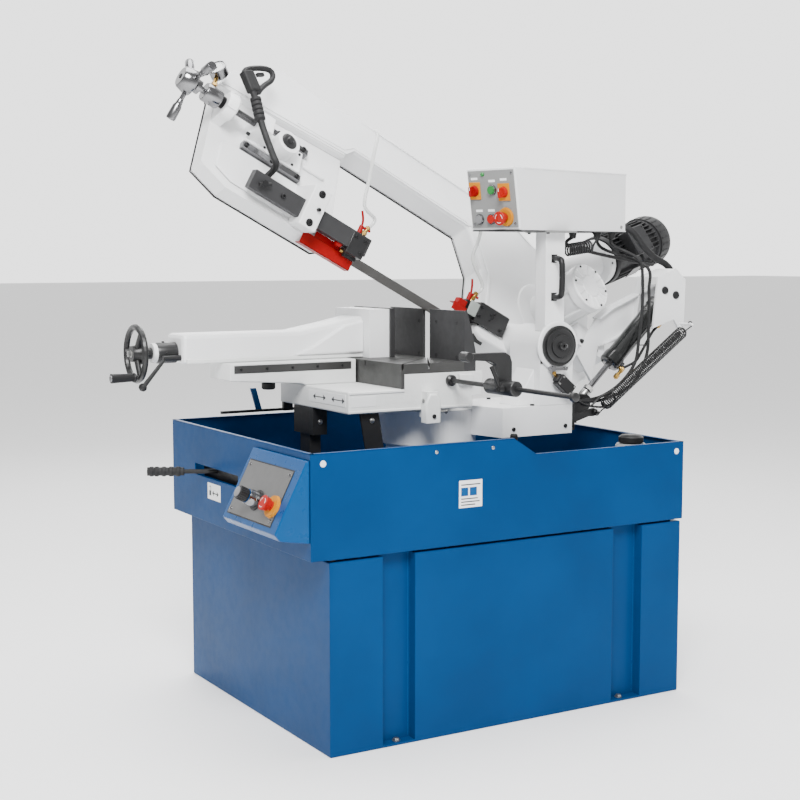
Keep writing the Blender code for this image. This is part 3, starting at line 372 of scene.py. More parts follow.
def hex_bolt(at, out, r=0.008, h=0.006):
    """A hexagon bolt on a washer."""
    return lathe([(r * 1.25, 0), (r * 1.25, r * 0.22), (r, r * 0.22, 1), (r, h * 0.85, 1), (r * 0.75, h)], at, out, 18)


def dome(at, out, r, h):
    return lathe([(r, 0), (r * 0.96, h * 0.5), (r * 0.72, h * 0.85), (r * 0.3, h)], at, out, 20)


def sunk_screw(at, out, r=0.005):
    """A countersunk screw, its rim flush with the face round it."""
    return lathe([(r, 0), (r, 0.0004), (r * 0.85, 0.0005), (r * 0.5, 0.0003, 1), (r * 0.5, 0.0001, 1)], at, out, 18)


def at(matrix, x, y, z):
    return matrix @ Vector((x, y, z))


def way(matrix, x, y, z):
    return (matrix.to_3x3() @ Vector((x, y, z))).normalized()


# ---------------------------------------------------------------- base: cabinet, tray, pulpit
X0, X1, Y0, Y1, RIM, LOW_RIM = -0.6235, 0.5747, -0.444, 0.4456, 0.7736, 0.727
solid("tray_rim", "base", "blue", [
    box((X0, Y0, RIM - 0.0002), (-0.015, Y0 + 0.012, RIM + 0.0018)),
    box((X0, Y0, RIM - 0.0002), (X0 + 0.012, Y1, RIM + 0.0018)),
    box((X0, Y1 - 0.012, RIM - 0.0002), (X1, Y1, RIM + 0.0018)),
    box((0.056, Y0, LOW_RIM - 0.0002), (X1, Y0 + 0.012, LOW_RIM + 0.0018)),
    box((X1 - 0.012, Y0, LOW_RIM - 0.0002), (X1, 0.40, LOW_RIM + 0.0018)),
    *placed(UPRIGHT, prism([(-0.015, 0.7718), (-0.015, 0.7738), (0.056, 0.7288), (0.056, 0.7268)], -Y0 - 0.012, -Y0)),
], bevel=0.0008)
solid("tray_plugs", "base", "label", [dome((-0.589, Y0, 0.749), -AX_Y, 0.0085, 0.0025),
                                      dome((0.548, Y0, 0.702), -AX_Y, 0.0085, 0.0025)])
solid("tray_bolts", "base", "zinc", [dome((x, Y0, 0.755), -AX_Y, 0.005, 0.003) for x in (-0.26, -0.085)])
solid("notice_plate", "base", "label", [box((-0.191, Y0 - 0.0009, 0.603), (-0.119, Y0 + 0.001, 0.675))], bevel=0.0003)
lines = [box((-0.185, Y0 - 0.0012, z), (-0.185 + w, Y0, z + 0.003))
         for z, w in ((0.662, 0.060), (0.625, 0.052), (0.617, 0.058), (0.609, 0.044))]
solid("notice_lines", "base", "ink", lines)
solid("notice_fields", "base", "blue_light", [box((x, Y0 - 0.0012, 0.634), (x + 0.022, Y0, 0.656))
                                              for x in (-0.185, -0.158)])
solid("slot_label", "base", "label", [box((X0 - 0.0008, 0.10, 0.576), (X0 + 0.001, 0.188, 0.622))], bevel=0.0003)
solid("slot_label_marks", "base", "ink", [
    box((X0 - 0.0012, 0.163, 0.587), (X0, 0.175, 0.601)),
    *placed(basis(AX_Y, AX_Z, AX_X, Vector((X0 - 0.0006, 0, 0))),
            tube([(0.165, 0.601, 0), (0.165, 0.610, 0), (0.169, 0.614, 0), (0.173, 0.610, 0)], 0.0010, 6, 3),
            prism([(0.120, 0.594), (0.148, 0.594), (0.148, 0.597), (0.120, 0.597)], -0.0004, 0.0004),
            prism([(0.112, 0.5955), (0.123, 0.603), (0.123, 0.588)], -0.0004, 0.0004),
            prism([(0.156, 0.5955), (0.145, 0.603), (0.145, 0.588)], -0.0004, 0.0004)),
])
# Black sheet inside the tray behind the lever slot: painted shade seen through the opening.
solid("slot_painted_shade", "base", "black", [box((X0 + 0.030, -0.020, 0.626), (X0 + 0.034, 0.282, 0.673))])
solid("tray_skirt_shadow", "base", "black", [box((-0.560, -0.43, 0.4985), (-0.548, 0.43, 0.5055))])

# The lighter-blue vertical strips on the cabinet front are painted highlight along the panel edges; the foot bolts are
# real.
edge_highlights, bolts = [], []
for x0, x1, hole in ((-0.418, -0.322, -0.369), (0.325, 0.428, 0.366)):
    edge_highlights += [box((x0 + 0.004, -0.4112, 0.012), (x0 + 0.006, -0.4105, 0.499)),
              box((x1 - 0.006, -0.4112, 0.012), (x1 - 0.004, -0.4105, 0.499))]
    bolts.append(hex_bolt((hole, -0.423, 0.0071), AX_Z, 0.009, 0.008))
# Black strip on the cabinet's left face under the tray's overhang: painted shadow.
solid("side_painted_shadow", "base", "black", [box((-0.5708, -0.330, 0.483), (-0.5690, 0.335, 0.5045))])
solid("cabinet_edge_highlights", "base", "blue_light", edge_highlights, bevel=0.0004)
solid("foot_bolts", "base", "zinc", bolts)
back = [box((-0.50, 0.4408, 0.050), (-0.03, 0.4428, 0.455)), box((0.03, 0.4408, 0.050), (0.50, 0.4428, 0.455))]
solid("cabinet_doors", "base", "blue", back, bevel=0.0015)
slits = []
for k in range(7):
    z = 0.30 + 0.016 * k
    slits.append(prism([(0.4425, z), (0.4425, z + 0.009), (0.4465, z + 0.003), (0.4465, z)], 0.18, 0.38))
louvre = basis(AX_Y, AX_Z, AX_X, Vector((0, 0, 0)))
solid("cabinet_louvres", "base", "blue", placed(louvre, *slits), bevel=0.0006)
solid("door_locks", "base", "zinc", [lathe([(0.012, 0), (0.012, 0.003), (0.009, 0.0045), (0.004, 0.0045, 1),
                                            (0.004, 0.002, 1)], (x, 0.4425, 0.26), AX_Y, 24) for x in (-0.065, 0.065)])
solid("cabinet_grommets", "base", "rubber", [lathe([(0.020, 0), (0.020, 0.004), (0.014, 0.006), (0.011, 0.002)],
                                                   (0.5697, 0.30, 0.42), AX_X, 28)])

out = PULPIT.to_3x3() @ Vector((0, 0, -1))
corners = [(-0.160, -0.0445), (-0.389, -0.0445), (-0.160, -0.168), (-0.389, -0.168)]
solid("pulpit_plate", "base", "plate", placed(PULPIT, box((-0.400, -0.1795, -0.0016), (-0.149, -0.0337, 0.001)),
                                              ), bevel=0.0005)
solid("pulpit_frame_gap", "base", "black", placed(PULPIT, box((-0.4035, -0.183, -0.0007), (-0.1455, -0.0302, 0.001))))
solid("pulpit_screws", "base", "chrome", [dome(at(PULPIT, u, v, -0.0015), out, 0.0055, 0.003) for u, v in corners])
flow = at(PULPIT, -0.28, -0.129, 0)
solid("flow_sleeve", "base", "chrome", [
    lathe([(0.0192, 0.006), (0.0215, 0.006), (0.0215, 0.024), (0.0205, 0.026), (0.0205, 0.0335), (0.0192, 0.034)],
          flow, out, 40), *[cyl(flow + out * 0.012 + turn * 0.0195, flow + out * 0.012 + turn * 0.0225, 0.003, n=12)
                            for turn in (PULPIT.to_3x3() @ AX_X, PULPIT.to_3x3() @ -AX_X)]])
solid("flow_seat", "base", "black", [lathe([(0.0262, 0.0016), (0.0275, 0.0016), (0.0275, 0.0045), (0.0262, 0.006),
                                            (0.0195, 0.0065)], flow, out, 40)])
ribs = []
for i in range(20):
    a = math.tau * i / 20
    spot = at(PULPIT, -0.28 + 0.0168 * math.cos(a), -0.129 + 0.0168 * math.sin(a), 0)
    ribs.append(cyl(spot + out * 0.037, spot + out * 0.058, 0.0014, 0.0012, 8))
solid("coolant_knob_ribs", "coolant_knob", "black", ribs)
solid("coolant_knob_cap", "coolant_knob", "grey", [lathe([(0.0135, 0.0615), (0.0135, 0.0632), (0.012, 0.064)],
                                                         flow, out, 32)])


def stop_marks(name, body, frame_matrix, u, v, h, look="label"):
    """The three arced turn marks on a mushroom button."""
    parts = []
    for k in range(3):
        arc = [Vector((u + 0.0125 * math.cos(k * 2.0944 + 0.16 * i), v + 0.0125 * math.sin(k * 2.0944 + 0.16 * i), h))
               for i in range(8)]
        parts += placed(frame_matrix, tube(arc, 0.0009, 6, 1))
    solid(name, body, look, parts)


stop_marks("base_stop_marks", "base_estop", PULPIT, -0.376, -0.132, -0.0342)
stop_marks("panel_stop_marks", "panel_estop", PANEL, 0.045, 0.038, -0.0362)
for name, body, m, u, v, h0 in (("base_stop_crown", "base_estop", PULPIT, -0.376, -0.132, 0.034),
                                ("panel_stop_crown", "panel_estop", PANEL, 0.045, 0.038, 0.036)):
    solid(name, body, "orange_red", placed(m, lathe([(0.019, -h0 + 0.004), (0.0196, -h0 + 0.001), (0.0185,
        -h0 - 0.0002),
                                                    (0.010, -h0 - 0.0008)], (u, v, 0), AX_Z, 36)))

# ---------------------------------------------------------------- bed, table, jaws
screws = [sunk_screw((0.0273, y, z), -AX_X, 0.0058) for y in (0.017, -0.093) for z in (0.968, 1.065)]
screws += [sunk_screw((0.0273, y, z), -AX_X, 0.0058) for y in (0.112, 0.245) for z in (0.968, 1.064)]
solid("jaw_screws", "base", "screw", screws)
solid("moving_jaw_screws", "vise_slide", "screw", [sunk_screw((-0.052, y, z), AX_X, 0.0058)
                                                    for y in (0.15, 0.31) for z in (0.985, 1.075)])
solid("bed_lugs", "base", "rough_white", [
    *placed(UPRIGHT, prism([(-0.118, 0.79), (-0.07, 0.79), (-0.07, 0.856), (-0.085, 0.874), (-0.106, 0.874),
                            (-0.118, 0.85)], 0.134, 0.166)),
    box((0.004, -0.150, 0.893), (0.050, -0.133, 0.925)),
], bevel=0.004)
solid("bed_lug_screws", "base", "screw", [cap_screw((-0.094, -0.1665, 0.812), -AX_Y, 0.006, 0.004),
                                          cap_screw((0.066, -0.11, 0.862), AX_X, 0.005, 0.006)])
solid("stop_pins", "base", "zinc", [cyl((-0.07, -0.150, 0.822), (-0.045, -0.150, 0.822), 0.004),
                                    hex_bolt((-0.045, -0.150, 0.822), AX_X, 0.006, 0.005),
                                    hex_bolt((-0.118, -0.150, 0.855), -AX_X, 0.005, 0.004)])
solid("bed_ribs", "base", "rough_white", [box((-0.345, -0.1365, 0.829), (0.04, -0.133, 0.836)),
                                          box((-0.345, -0.1365, 0.880), (-0.17, -0.133, 0.887))], bevel=0.0015)
solid("bed_plate", "base", "label", [box((-0.3478, -0.118, 0.846), (-0.346, 0.10, 0.879)),
                                     box((-0.340, -0.1348, 0.846), (-0.262, -0.133, 0.874))], bevel=0.0003)
marks = []
for y in (-0.075, 0.035):
    marks += [box((-0.3482, y - 0.028, 0.861), (-0.347, y + 0.028, 0.8635)),
              *placed(basis(AX_Y, AX_Z, AX_X, Vector((-0.3478, 0, 0))),
                      prism([(y - 0.038, 0.862), (y - 0.024, 0.870), (y - 0.024, 0.854)], -0.0004, 0.0004),
                      prism([(y + 0.038, 0.862), (y + 0.024, 0.870), (y + 0.024, 0.854)], -0.0004, 0.0004))]
solid("bed_plate_marks", "base", "ink", marks)
solid("table_screws", "base", "screw", [sunk_screw((x, y, 0.9577), AX_Z, 0.0065)
                                        for x, y in ((-0.155, -0.10), (-0.155, 0.25), (-0.03, -0.11), (-0.03, 0.26))])
solid("support_screws", "base", "zinc", [
    hex_bolt((-0.264, -0.1163, 0.805), -AX_Y, 0.006, 0.005), hex_bolt((-0.256, -0.1163, 0.54), -AX_Y, 0.006, 0.005),
    hex_bolt((-0.3225, 0.0798, 0.785), -AX_Y, 0.006, 0.005)])
solid("stub", "base", "rubber", [lathe([(0.010, 0), (0.011, 0.004), (0.011, 0.018), (0.008, 0.022)],
                                       (0.154, -0.20, 0.7285), AX_Z)])
solid("bar_rest", "base", "black", [box((-0.531, 0.294, 0.799), (-0.295, 0.306, 0.807)),
                                    box((-0.335, 0.2855, 0.799), (-0.305, 0.300, 0.868))], bevel=0.001)
solid("bar_rest_strut", "base", "blue_light", placed(UPRIGHT, prism([(-0.438, 0.870), (-0.420, 0.870), (-0.401, 0.804),
                                                               (-0.419, 0.804)], -0.304, -0.296)), bevel=0.001)
solid("pump_cap", "base", "black", [lathe([(0.030, 0.720), (0.036, 0.724), (0.036, 0.738), (0.028, 0.744),
                                           (0.012, 0.745)], (0.463, -0.345, 0), AX_Z, 36)])
solid("pump_line", "base", "hose", [tube([(0.463, -0.300, 0.66), (0.463, -0.25, 0.68), (0.44, -0.18, 0.64),
                                          (0.42, -0.05, 0.56), (0.40, 0.15, 0.53), (0.36, 0.26, 0.525)], 0.006)])
solid("stop_rod_ends", "base", "black_cast", [
    lathe([(0.012, 0), (0.012, 0.012), (0.009, 0.014)], (-0.021, -0.700, 0.907), -AX_Y),
    lathe([(0.016, 0), (0.016, 0.010), (0.011, 0.014)], (-0.021, -0.136, 0.907), -AX_Y)])
neck = [(-0.139, 0.984), (-0.070, 0.979), (-0.050, 0.970), (-0.044, 0.955), (-0.043, 0.905), (-0.030, 0.889),
        (-0.006, 0.889), (0.002, 0.900), (0.002, 0.975), (-0.004, 0.992), (-0.018, 1.001), (-0.139, 1.001)]
stop_parts = placed(UPRIGHT, prism(neck, 0.384, 0.406))
stop_parts += [lathe([(0.012, 0), (0.0135, 0.002), (0.0135, 0.034), (0.012, 0.036)], (-0.139, -0.378, 0.9925), -AX_Y),
               lathe([(0.019, 0), (0.021, 0.003), (0.021, 0.127), (0.019, 0.130)], (-0.021, -0.330, 0.907), -AX_Y, 36)]
solid("length_stop_arm", "stop_slider", "black_cast", stop_parts, bevel=0.003, stands_for=["length_stop_slider"])
solid("length_stop_rib", "stop_slider", "black_cast",
      placed(UPRIGHT, prism([(-0.120, 0.989), (-0.020, 0.989), (-0.010, 0.975), (-0.010, 0.93), (-0.032, 0.93),
                             (-0.034, 0.975), (-0.060, 0.984)], 0.380, 0.384)), bevel=0.001)
solid("stop_lever_hub", "stop_lever", "screw", [cap_screw((-0.060, -0.43, 0.907), -AX_X, 0.0065, 0.004)])
solid("lock_lever_ribs", "lock_lever", "rubber", [
    lathe([(0.0125, 0), (0.0142, 0.003), (0.0142, 0.010), (0.0125, 0.013)], Vector((-0.682, 0.2395, 0.65)).lerp(
        Vector((-0.762, 0.2837, 0.65)), t), Vector((-0.080, 0.0442, 0)), 20) for t in (0.02, 0.24, 0.46, 0.68, 0.84)])

# ---------------------------------------------------------------- vise
solid("vise_base_knob", "vise_carriage", "black", [lathe([(0.012, 0), (0.012, 0.006), (0.020, 0.010), (0.020, 0.024),
                                                          (0.016, 0.028)], (-0.431, 0.19, 0.903), -AX_Z)])
solid("vise_base_gib", "vise_carriage", "table", [box((-0.570, 0.1165, 0.930), (-0.20, 0.1182, 0.952))], bevel=0.0005)
solid("vise_base_screws", "vise_carriage", "screw", [cap_screw((x, 0.1166, 0.941), -AX_Y, 0.004, 0.003)
                                                      for x in (-0.55, -0.47, -0.39, -0.31, -0.23)])
flange = [(-0.690, 0.9586), (-0.135, 0.9586), (-0.135, 0.972), (-0.690, 0.972)]
solid("ram_flange", "vise_slide", "rough_white", placed(UPRIGHT, prism(flange, -0.296, -0.162)), bevel=0.003)
solid("ram_web", "vise_slide", "cast_white", placed(UPRIGHT, prism([(-0.36, 0.972), (-0.135, 0.972), (-0.135, 1.068),
                                                                    (-0.20, 1.055), (-0.30, 0.998)], -0.303, -0.155)),
      bevel=0.006)
solid("ram_collar", "vise_slide", "black_cast", [
    lathe([(0.027, 0), (0.0295, 0.003), (0.0295, 0.055), (0.027, 0.060), (0.0165, 0.062)], (-0.698, 0.229,
        0.988), -AX_X,
          40)])
solid("ram_collar_screws", "vise_slide", "screw", [cap_screw((-0.735, 0.229 - 0.0295, 0.988), -AX_Y, 0.004, 0.003),
                                                   cap_screw((-0.735, 0.229, 0.988 + 0.0295), AX_Z, 0.004, 0.003)])
solid("wheel_nut", "handwheel", "zinc", [lathe([(0.010, 0), (0.010, 0.002), (0.0085, 0.002, 1), (0.0085, 0.010, 1),
                                                (0.005, 0.011)], (-0.8275, 0.229, 0.988), -AX_X, 18)])
solid("wheel_boss", "handwheel", "black_cast", [lathe([(0.030, -0.004), (0.031, 0.0), (0.024, 0.012), (0.022, 0.026)],
                                                      (-0.801, 0.229, 0.988), -AX_X, 36)])
solid("crank_cap", "crank_handle", "chrome", [lathe([(0.0095, 0), (0.009, 0.003), (0.005, 0.004)],
                                                    (-0.8965, 0.2, 0.925), -AX_X, 24)])
solid("crank_collar", "crank_handle", "black", [lathe([(0.0125, 0), (0.0135, 0.002), (0.0125, 0.005)],
                                                      (-0.829, 0.2, 0.925), -AX_X, 24)])
solid("quick_lever_ball", "quick_lever", "black", [lathe([(0.006, 0), (0.010, 0.004), (0.012, 0.010), (0.010, 0.016),
                                                          (0.005, 0.020)], (-0.818, 0.155, 0.908),
                                                         (-0.079, -0.035, -0.073), 24)])

# ---------------------------------------------------------------- swivel arm, column, box
solid("deck_screws", "swivel", "screw", [cap_screw((x, -0.1752, 0.76), -AX_Y, 0.006, 0.004) for x in (0.17, 0.355)] +
      [cap_screw((x, y, 0.8224), AX_Z, 0.0065, 0.005) for x, y in ((0.25, -0.155), (0.25, 0.07))])
solid("column_web", "swivel", "cast_white", placed(UPRIGHT, prism([(0.20, 0.8215), (0.264, 0.8215), (0.264, 0.93)],
                                                                  0.055, 0.145)), bevel=0.003)
solid("cam_ring", "swivel", "cast_white", [lathe([(0.0595, 0), (0.072, 0), (0.072, 0.006), (0.069, 0.009),
                                                  (0.0595, 0.009)], (0.3215, -0.1745, 0.996), -AX_Y, 56)])
solid("cam_face", "head", "black_cast", [
    lathe([(0.050, 0), (0.050, 0.004), (0.046, 0.006), (0.034, 0.006), (0.033, 0.010)], (0.3215, -0.1903, 0.996), -AX_Y,
          48), lathe([(0.012, 0.010), (0.012, 0.018), (0.009, 0.020), (0.005, 0.020, 1), (0.005, 0.014, 1)],
                     (0.3215, -0.1903, 0.996), -AX_Y, 18)])
solid("cam_bolt", "head", "steel", [lathe([(0.006, 0), (0.006, 0.003), (0.003, 0.003, 1), (0.003, 0.001, 1)],
                                          (0.3365, -0.1985, 0.996), -AX_Y, 18)])
solid("cam_cheek", "swivel", "black", placed(UPRIGHT, prism([(0.262, 0.945), (0.280, 0.945), (0.280, 0.972),
    (0.290, 0.99),
                                                             (0.275, 1.012), (0.262, 0.995)], 0.1755, 0.1795)),
      bevel=0.001)
solid("post_bracket", "swivel", "panel_grey", [box((0.262, -0.205, 1.3225), (0.368, -0.095, 1.3277))], bevel=0.001)
solid("post_bracket_screws", "swivel", "screw", [cap_screw((x, y, 1.3225), -AX_Z, 0.005, 0.004)
                                                  for x in (0.270, 0.360) for y in (-0.197, -0.105)])
grip_path = [(0.309, -0.175, 1.2475), (0.309, -0.200, 1.2465), (0.309, -0.2125, 1.232), (0.309, -0.2125, 1.154),
             (0.309, -0.200, 1.1395), (0.309, -0.175, 1.1385)]
solid("pull_handle", "swivel", "black", [tube(grip_path, 0.0088, 12, 6),
                                         box((0.299, -0.1765, 1.236), (0.319, -0.173, 1.260)),
                                         box((0.299, -0.1765, 1.126), (0.319, -0.173, 1.150))])
solid("post_edge", "swivel", "cast_white", [box((0.279, -0.1268, 1.07), (0.283, -0.1255, 1.327)),
                                            box((0.343, -0.1268, 1.07), (0.347, -0.1255, 1.327))], bevel=0.0005)
box_lid = [
    *placed(BOX, box((0.004, -0.0008, 0.0004), (0.500, 0.0, 0.0030)), box((0.499, 0.004, 0.004), (0.5008,
        0.176, 0.0065)),
            box((0.010, -0.0014, 0.170), (0.499, 0.002, 0.1742)))]
solid("box_folds", "swivel", "sheet_white", box_lid, bevel=0.0005)
solid("box_gasket", "swivel", "black", placed(BOX, box((0.003, 0.002, -0.0022), (0.497, 0.178, 0.0004)),
                                              box((-0.0035, 0.004, -0.0022), (0.010, 0.176, 0.001))))
solid("box_screws", "swivel", "zinc", [
    *[hex_bolt(at(BOX, x, -0.0005, z), way(BOX, 0, -1, 0), 0.0042, 0.0035) for x, z in ((0.476, 0.014),)],
    *[dome(at(BOX, 0.5003, y, z), way(BOX, 1, 0, 0), 0.0045, 0.003) for y in (0.018, 0.162) for z in (0.02, 0.155)],
    *[dome(at(BOX, x, 0.1803, z), way(BOX, 0, 1, 0), 0.0045, 0.003) for x in (0.03, 0.25, 0.47) for z in (0.02,
        0.155)]])
vents = placed(BOX, *[box((0.30 + 0.016 * k, 0.1795, 0.045), (0.308 + 0.016 * k, 0.1812, 0.125)) for k in range(9)])
solid("box_vents", "swivel", "black", vents)
face_out = way(PANEL, 0, 0, -1)
solid("panel_screws", "swivel", "chrome", [dome(at(PANEL, u, v, -0.0027), face_out, 0.0042, 0.0022)
                                           for u in (0.014, 0.166) for v in (0.018, 0.160)])
solid("panel_plates", "swivel", "yellow", placed(PANEL, *[box((u - 0.0205, v - 0.0245, -0.0065), (u + 0.0205,
    v + 0.0245,
                                                                                                 -0.0028))
                                                          for u, v in ((0.151, 0.114), (0.044, 0.108))]), bevel=0.001)
rings = []
for u, v in ((0.087, 0.115), (0.143, 0.033), (0.098, 0.033)):
    rings.append(lathe([(0.0128, 0.0028), (0.0152, 0.0028), (0.0152, 0.0075), (0.0142, 0.009), (0.0128, 0.009)],
                       at(PANEL, u, v, 0), face_out, 32))
solid("button_bezels", "swivel", "chrome", rings)
solid("panel_legends", "swivel", "label", placed(PANEL, *[box((u - 0.012, v, -0.0031), (u + 0.012, v + 0.0065, -0.002))
                                                          for u, v in ((0.151, 0.145), (0.044, 0.140), (0.087, 0.137),
                                                                       (0.143, 0.054), (0.098, 0.054))]))
solid("panel_lamp", "swivel", "green", [lathe([(0.006, 0.0028), (0.006, 0.006), (0.004, 0.0085)],
                                             at(PANEL, 0.118, 0.160, 0), face_out, 24)])
for name, body, u, v in (("main_switch_pointer", "main_switch", 0.151, 0.114),
                         ("speed_switch_pointer", "speed_switch", 0.044, 0.108)):
    solid(name, body, "label", placed(PANEL, box((u - 0.0012, v + 0.004, -0.0284), (u + 0.0012, v + 0.0125, -0.0275))))
glands = []
for x, y in ((0.47, 0.03), (0.47, 0.085), (0.42, 0.14)):
    glands.append(lathe([(0.013, 0), (0.013, 0.008, 1), (0.0115, 0.008), (0.010, 0.018), (0.008, 0.020)],
                        at(BOX, x, y, 0), -AX_Z, 24))
glands.append(lathe([(0.018, 0), (0.018, 0.010, 1), (0.016, 0.010), (0.014, 0.024)], at(BOX, 0.5, 0.10, 0.035),
                    way(BOX, 1, 0, 0), 24))
solid("box_glands", "swivel", "black", glands)

# limit switch
solid("switch_housing", "swivel", "black", placed(
    Matrix.Translation((0.330, -0.197, 0.885)) @ Matrix.Rotation(math.radians(40), 4, "Y"),
    box((-0.026, -0.014, -0.018), (0.034, 0.012, 0.018)), box((-0.034, -0.011, -0.012), (-0.024, 0.010, 0.014))),
      bevel=0.002, stands_for=["limit_switch"])
solid("switch_screws", "swivel", "zinc", [cap_screw(
    Matrix.Translation((0.330, -0.2112, 0.885)) @ Matrix.Rotation(math.radians(40), 4, "Y") @ Vector((x, 0, z)),
    -AX_Y, 0.003, 0.002) for x, z in ((-0.02, 0.012), (-0.02, -0.012), (0.028, 0.012), (0.028, -0.012))])
solid("switch_plunger", "swivel", "brass", [cyl((0.309, -0.193, 0.905), (0.300, -0.193, 0.916), 0.004),
                                            lathe([(0.0055, 0), (0.0065, 0.003), (0.0055, 0.006)],
                                                  (0.300, -0.196, 0.918), AX_Y, 20)])
solid("switch_lead", "swivel", "black", [tube([(0.354, -0.197, 0.862), (0.372, -0.197, 0.846), (0.40, -0.190, 0.826),
                                               (0.45, -0.186, 0.812), (0.50, -0.186, 0.810), (0.535, -0.184, 0.826),
                                               (0.520, -0.180, 0.848), (0.49, -0.170, 0.838), (0.46, -0.165, 0.812)],
                                              0.0032)])

# ---------------------------------------------------------------- head: bow
seal = [(-0.851, 0.0), (-0.765, -0.0345), (-0.44, -0.0345), (-0.4195, -0.02), (-0.4195, 0.31), (-0.395, 0.3345),
        (0.06, 0.3345), (0.1245, 0.21), (0.1245, -0.03), (0.15, -0.0395), (0.50, -0.0395), (0.594, 0.04),
        (0.594, 0.29), (0.51, 0.3945), (0.33, 0.4295), (0.22, 0.4745), (-0.403, 0.4705), (-0.487, 0.4475),
        (-0.683, 0.4525), (-0.8355, 0.336), (-0.8615, 0.27), (-0.8515, 0.25)]
solid("bow_seal", "head", "black", placed(HEAD, tube([(s, t, -0.0302) for s, t in seal], 0.0022, 8, 1, closed=True)))
rise = [(-0.812, 0.012), (-0.757, -0.012), (-0.455, -0.012), (-0.448, 0.100), (-0.560, 0.112), (-0.640, 0.112),
        (-0.795, 0.112), (-0.812, 0.095)]
solid("cover_relief", "head", "cast_white", placed(HEAD, prism(rise, 0.0248, 0.0345)), bevel=0.0088, segments=1)
crease = [(-0.857, 0.266), (-0.42, 0.297), (-0.42, 0.306), (-0.857, 0.275)]
solid("crest_step", "head", "cast_white", placed(HEAD, prism(crease, 0.0248, 0.047)), bevel=0.004)
groove = [(-0.60, 0.302), (-0.43, 0.314), (-0.40, 0.342), (0.055, 0.342), (0.055, 0.346), (-0.402, 0.346),
          (-0.432, 0.318), (-0.60, 0.306)]
solid("beam_bead", "head", "cast_white", placed(HEAD, prism(groove, 0.0515, 0.0545)), bevel=0.001)
solid("beam_rib", "head", "cast_white", placed(HEAD, prism([(-0.39, 0.455), (0.215, 0.459), (0.32, 0.416),
    (0.322, 0.420),
                                                            (0.217, 0.464), (-0.39, 0.460)], 0.0515, 0.0540)),
      bevel=0.001)
solid("drive_rib", "head", "cast_white", placed(HEAD, prism([(0.150, 0.02), (0.162, 0.02), (0.162, 0.205),
    (0.10, 0.318),
                                                             (0.094, 0.314), (0.150, 0.20)], 0.0495, 0.056)),
      bevel=0.0025)
solid("drive_ring", "head", "cast_white", [lathe([(0.062, 0.0495), (0.105, 0.0495), (0.101, 0.056), (0.085, 0.060),
                                                  (0.062, 0.061)], at(HEAD, DRIVE_S, WHEEL_T, 0), FRONT, 56)])
gibs = placed(HEAD, box((-0.668, 0.217, 0.0248), (-0.545, 0.238, 0.047)), box((-0.750, 0.116, 0.0248),
                                                                             (-0.553, 0.138, 0.043)))
solid("slide_gibs", "head", "steel", gibs, bevel=0.0015)
gib_screws = [cap_screw(at(HEAD, s, 0.2275, 0.047), FRONT, 0.0075, 0.007) for s in (-0.650, -0.563)]
gib_screws += [cap_screw(at(HEAD, s, 0.127, 0.043), FRONT, 0.0065, 0.005) for s in (-0.738, -0.650, -0.566)]
gib_screws += [cap_screw(at(HEAD, -0.745, 0.150, 0.060), -ALONG, 0.005, 0.010)]
solid("gib_screws", "head", "screw", gib_screws)
solid("idler_cap", "idler_slide", "black_cast", [
    lathe([(0.024, 0.0922), (0.024, 0.094), (0.020, 0.096), (0.010, 0.0965), (0.010, 0.102, 1), (0.0085, 0.104, 1),
           (0.005, 0.104)], at(HEAD, IDLER_S, WHEEL_T, 0), FRONT, 36)])
solid("idler_bolts", "idler_slide", "screw", [cap_screw(at(HEAD, s, t, 0.046), FRONT, 0.004, 0.003)
                                              for s, t in ((-0.59, 0.152), (-0.572, 0.203), (-0.685, 0.152))])
solid("slide_track", "head", "cast_white", placed(HEAD, box((-0.546, 0.182, 0.0248), (-0.470, 0.196, 0.034))),
      bevel=0.003)

# tension screw, disc springs and gauge
springs = []
for k in range(5):
    z = -0.8635 + 0.0026 * k
    springs.append(lathe([(0.0135, 0), (0.017, 0.0009), (0.017, 0.0016), (0.0135, 0.0024)],
                         at(HEAD, z, WHEEL_T, 0.080), ALONG, 28))
solid("disc_springs", "tension_handle", "screw", springs)
solid("tension_boss", "head", "cast_white", [lathe([(0.0105, 0), (0.032, 0), (0.036, 0.006), (0.036, 0.030),
    (0.032, 0.034),
                                                    (0.0105, 0.034)], at(HEAD, -0.850, WHEEL_T, 0.080), ALONG, 40)])
solid("tension_thread", "tension_handle", "black_cast", [lathe(
    [(r, 0.0012 * k) for k in range(88) for r in ((0.0098 if k % 2 else 0.0088),)],
    at(HEAD, -0.812, WHEEL_T, 0.080), ALONG, 20)])
solid("tension_hub", "tension_handle", "chrome", [
    lathe([(0.012, 0), (0.026, 0.0), (0.030, 0.004), (0.038, 0.034), (0.036, 0.040), (0.024, 0.043), (0.019, 0.050)],
          at(HEAD, -0.990, WHEEL_T, 0.080), ALONG, 44),
    lathe([(0.0245, 0), (0.0265, 0.003), (0.0265, 0.044), (0.0245, 0.047)], at(HEAD, -0.914, WHEEL_T, 0.080),
        ALONG, 44)])
solid("tension_centre", "tension_handle", "screw", [cap_screw(at(HEAD, -0.990, WHEEL_T, 0.080), -ALONG, 0.007, 0.002)])
knob_parts = []
for i in range(3):
    a = math.radians(100 + 120 * i)
    c = way(HEAD, 0, math.cos(a), math.sin(a))
    middle = at(HEAD, -0.958, WHEEL_T, 0.080)
    knob_parts.append(lathe([(0.007, 0.052), (0.0085, 0.058), (0.0085, 0.064), (0.0125, 0.074), (0.0132, 0.108),
                             (0.012, 0.112), (0.006, 0.113)], middle, c, 28))
solid("tension_grips", "tension_handle", "steel", knob_parts)
gauge_out = (ALONG * -0.80 + FRONT * 0.52 + LEAN * 0.10).normalized()
gauge_at = at(HEAD, -0.889, 0.272, 0.082)
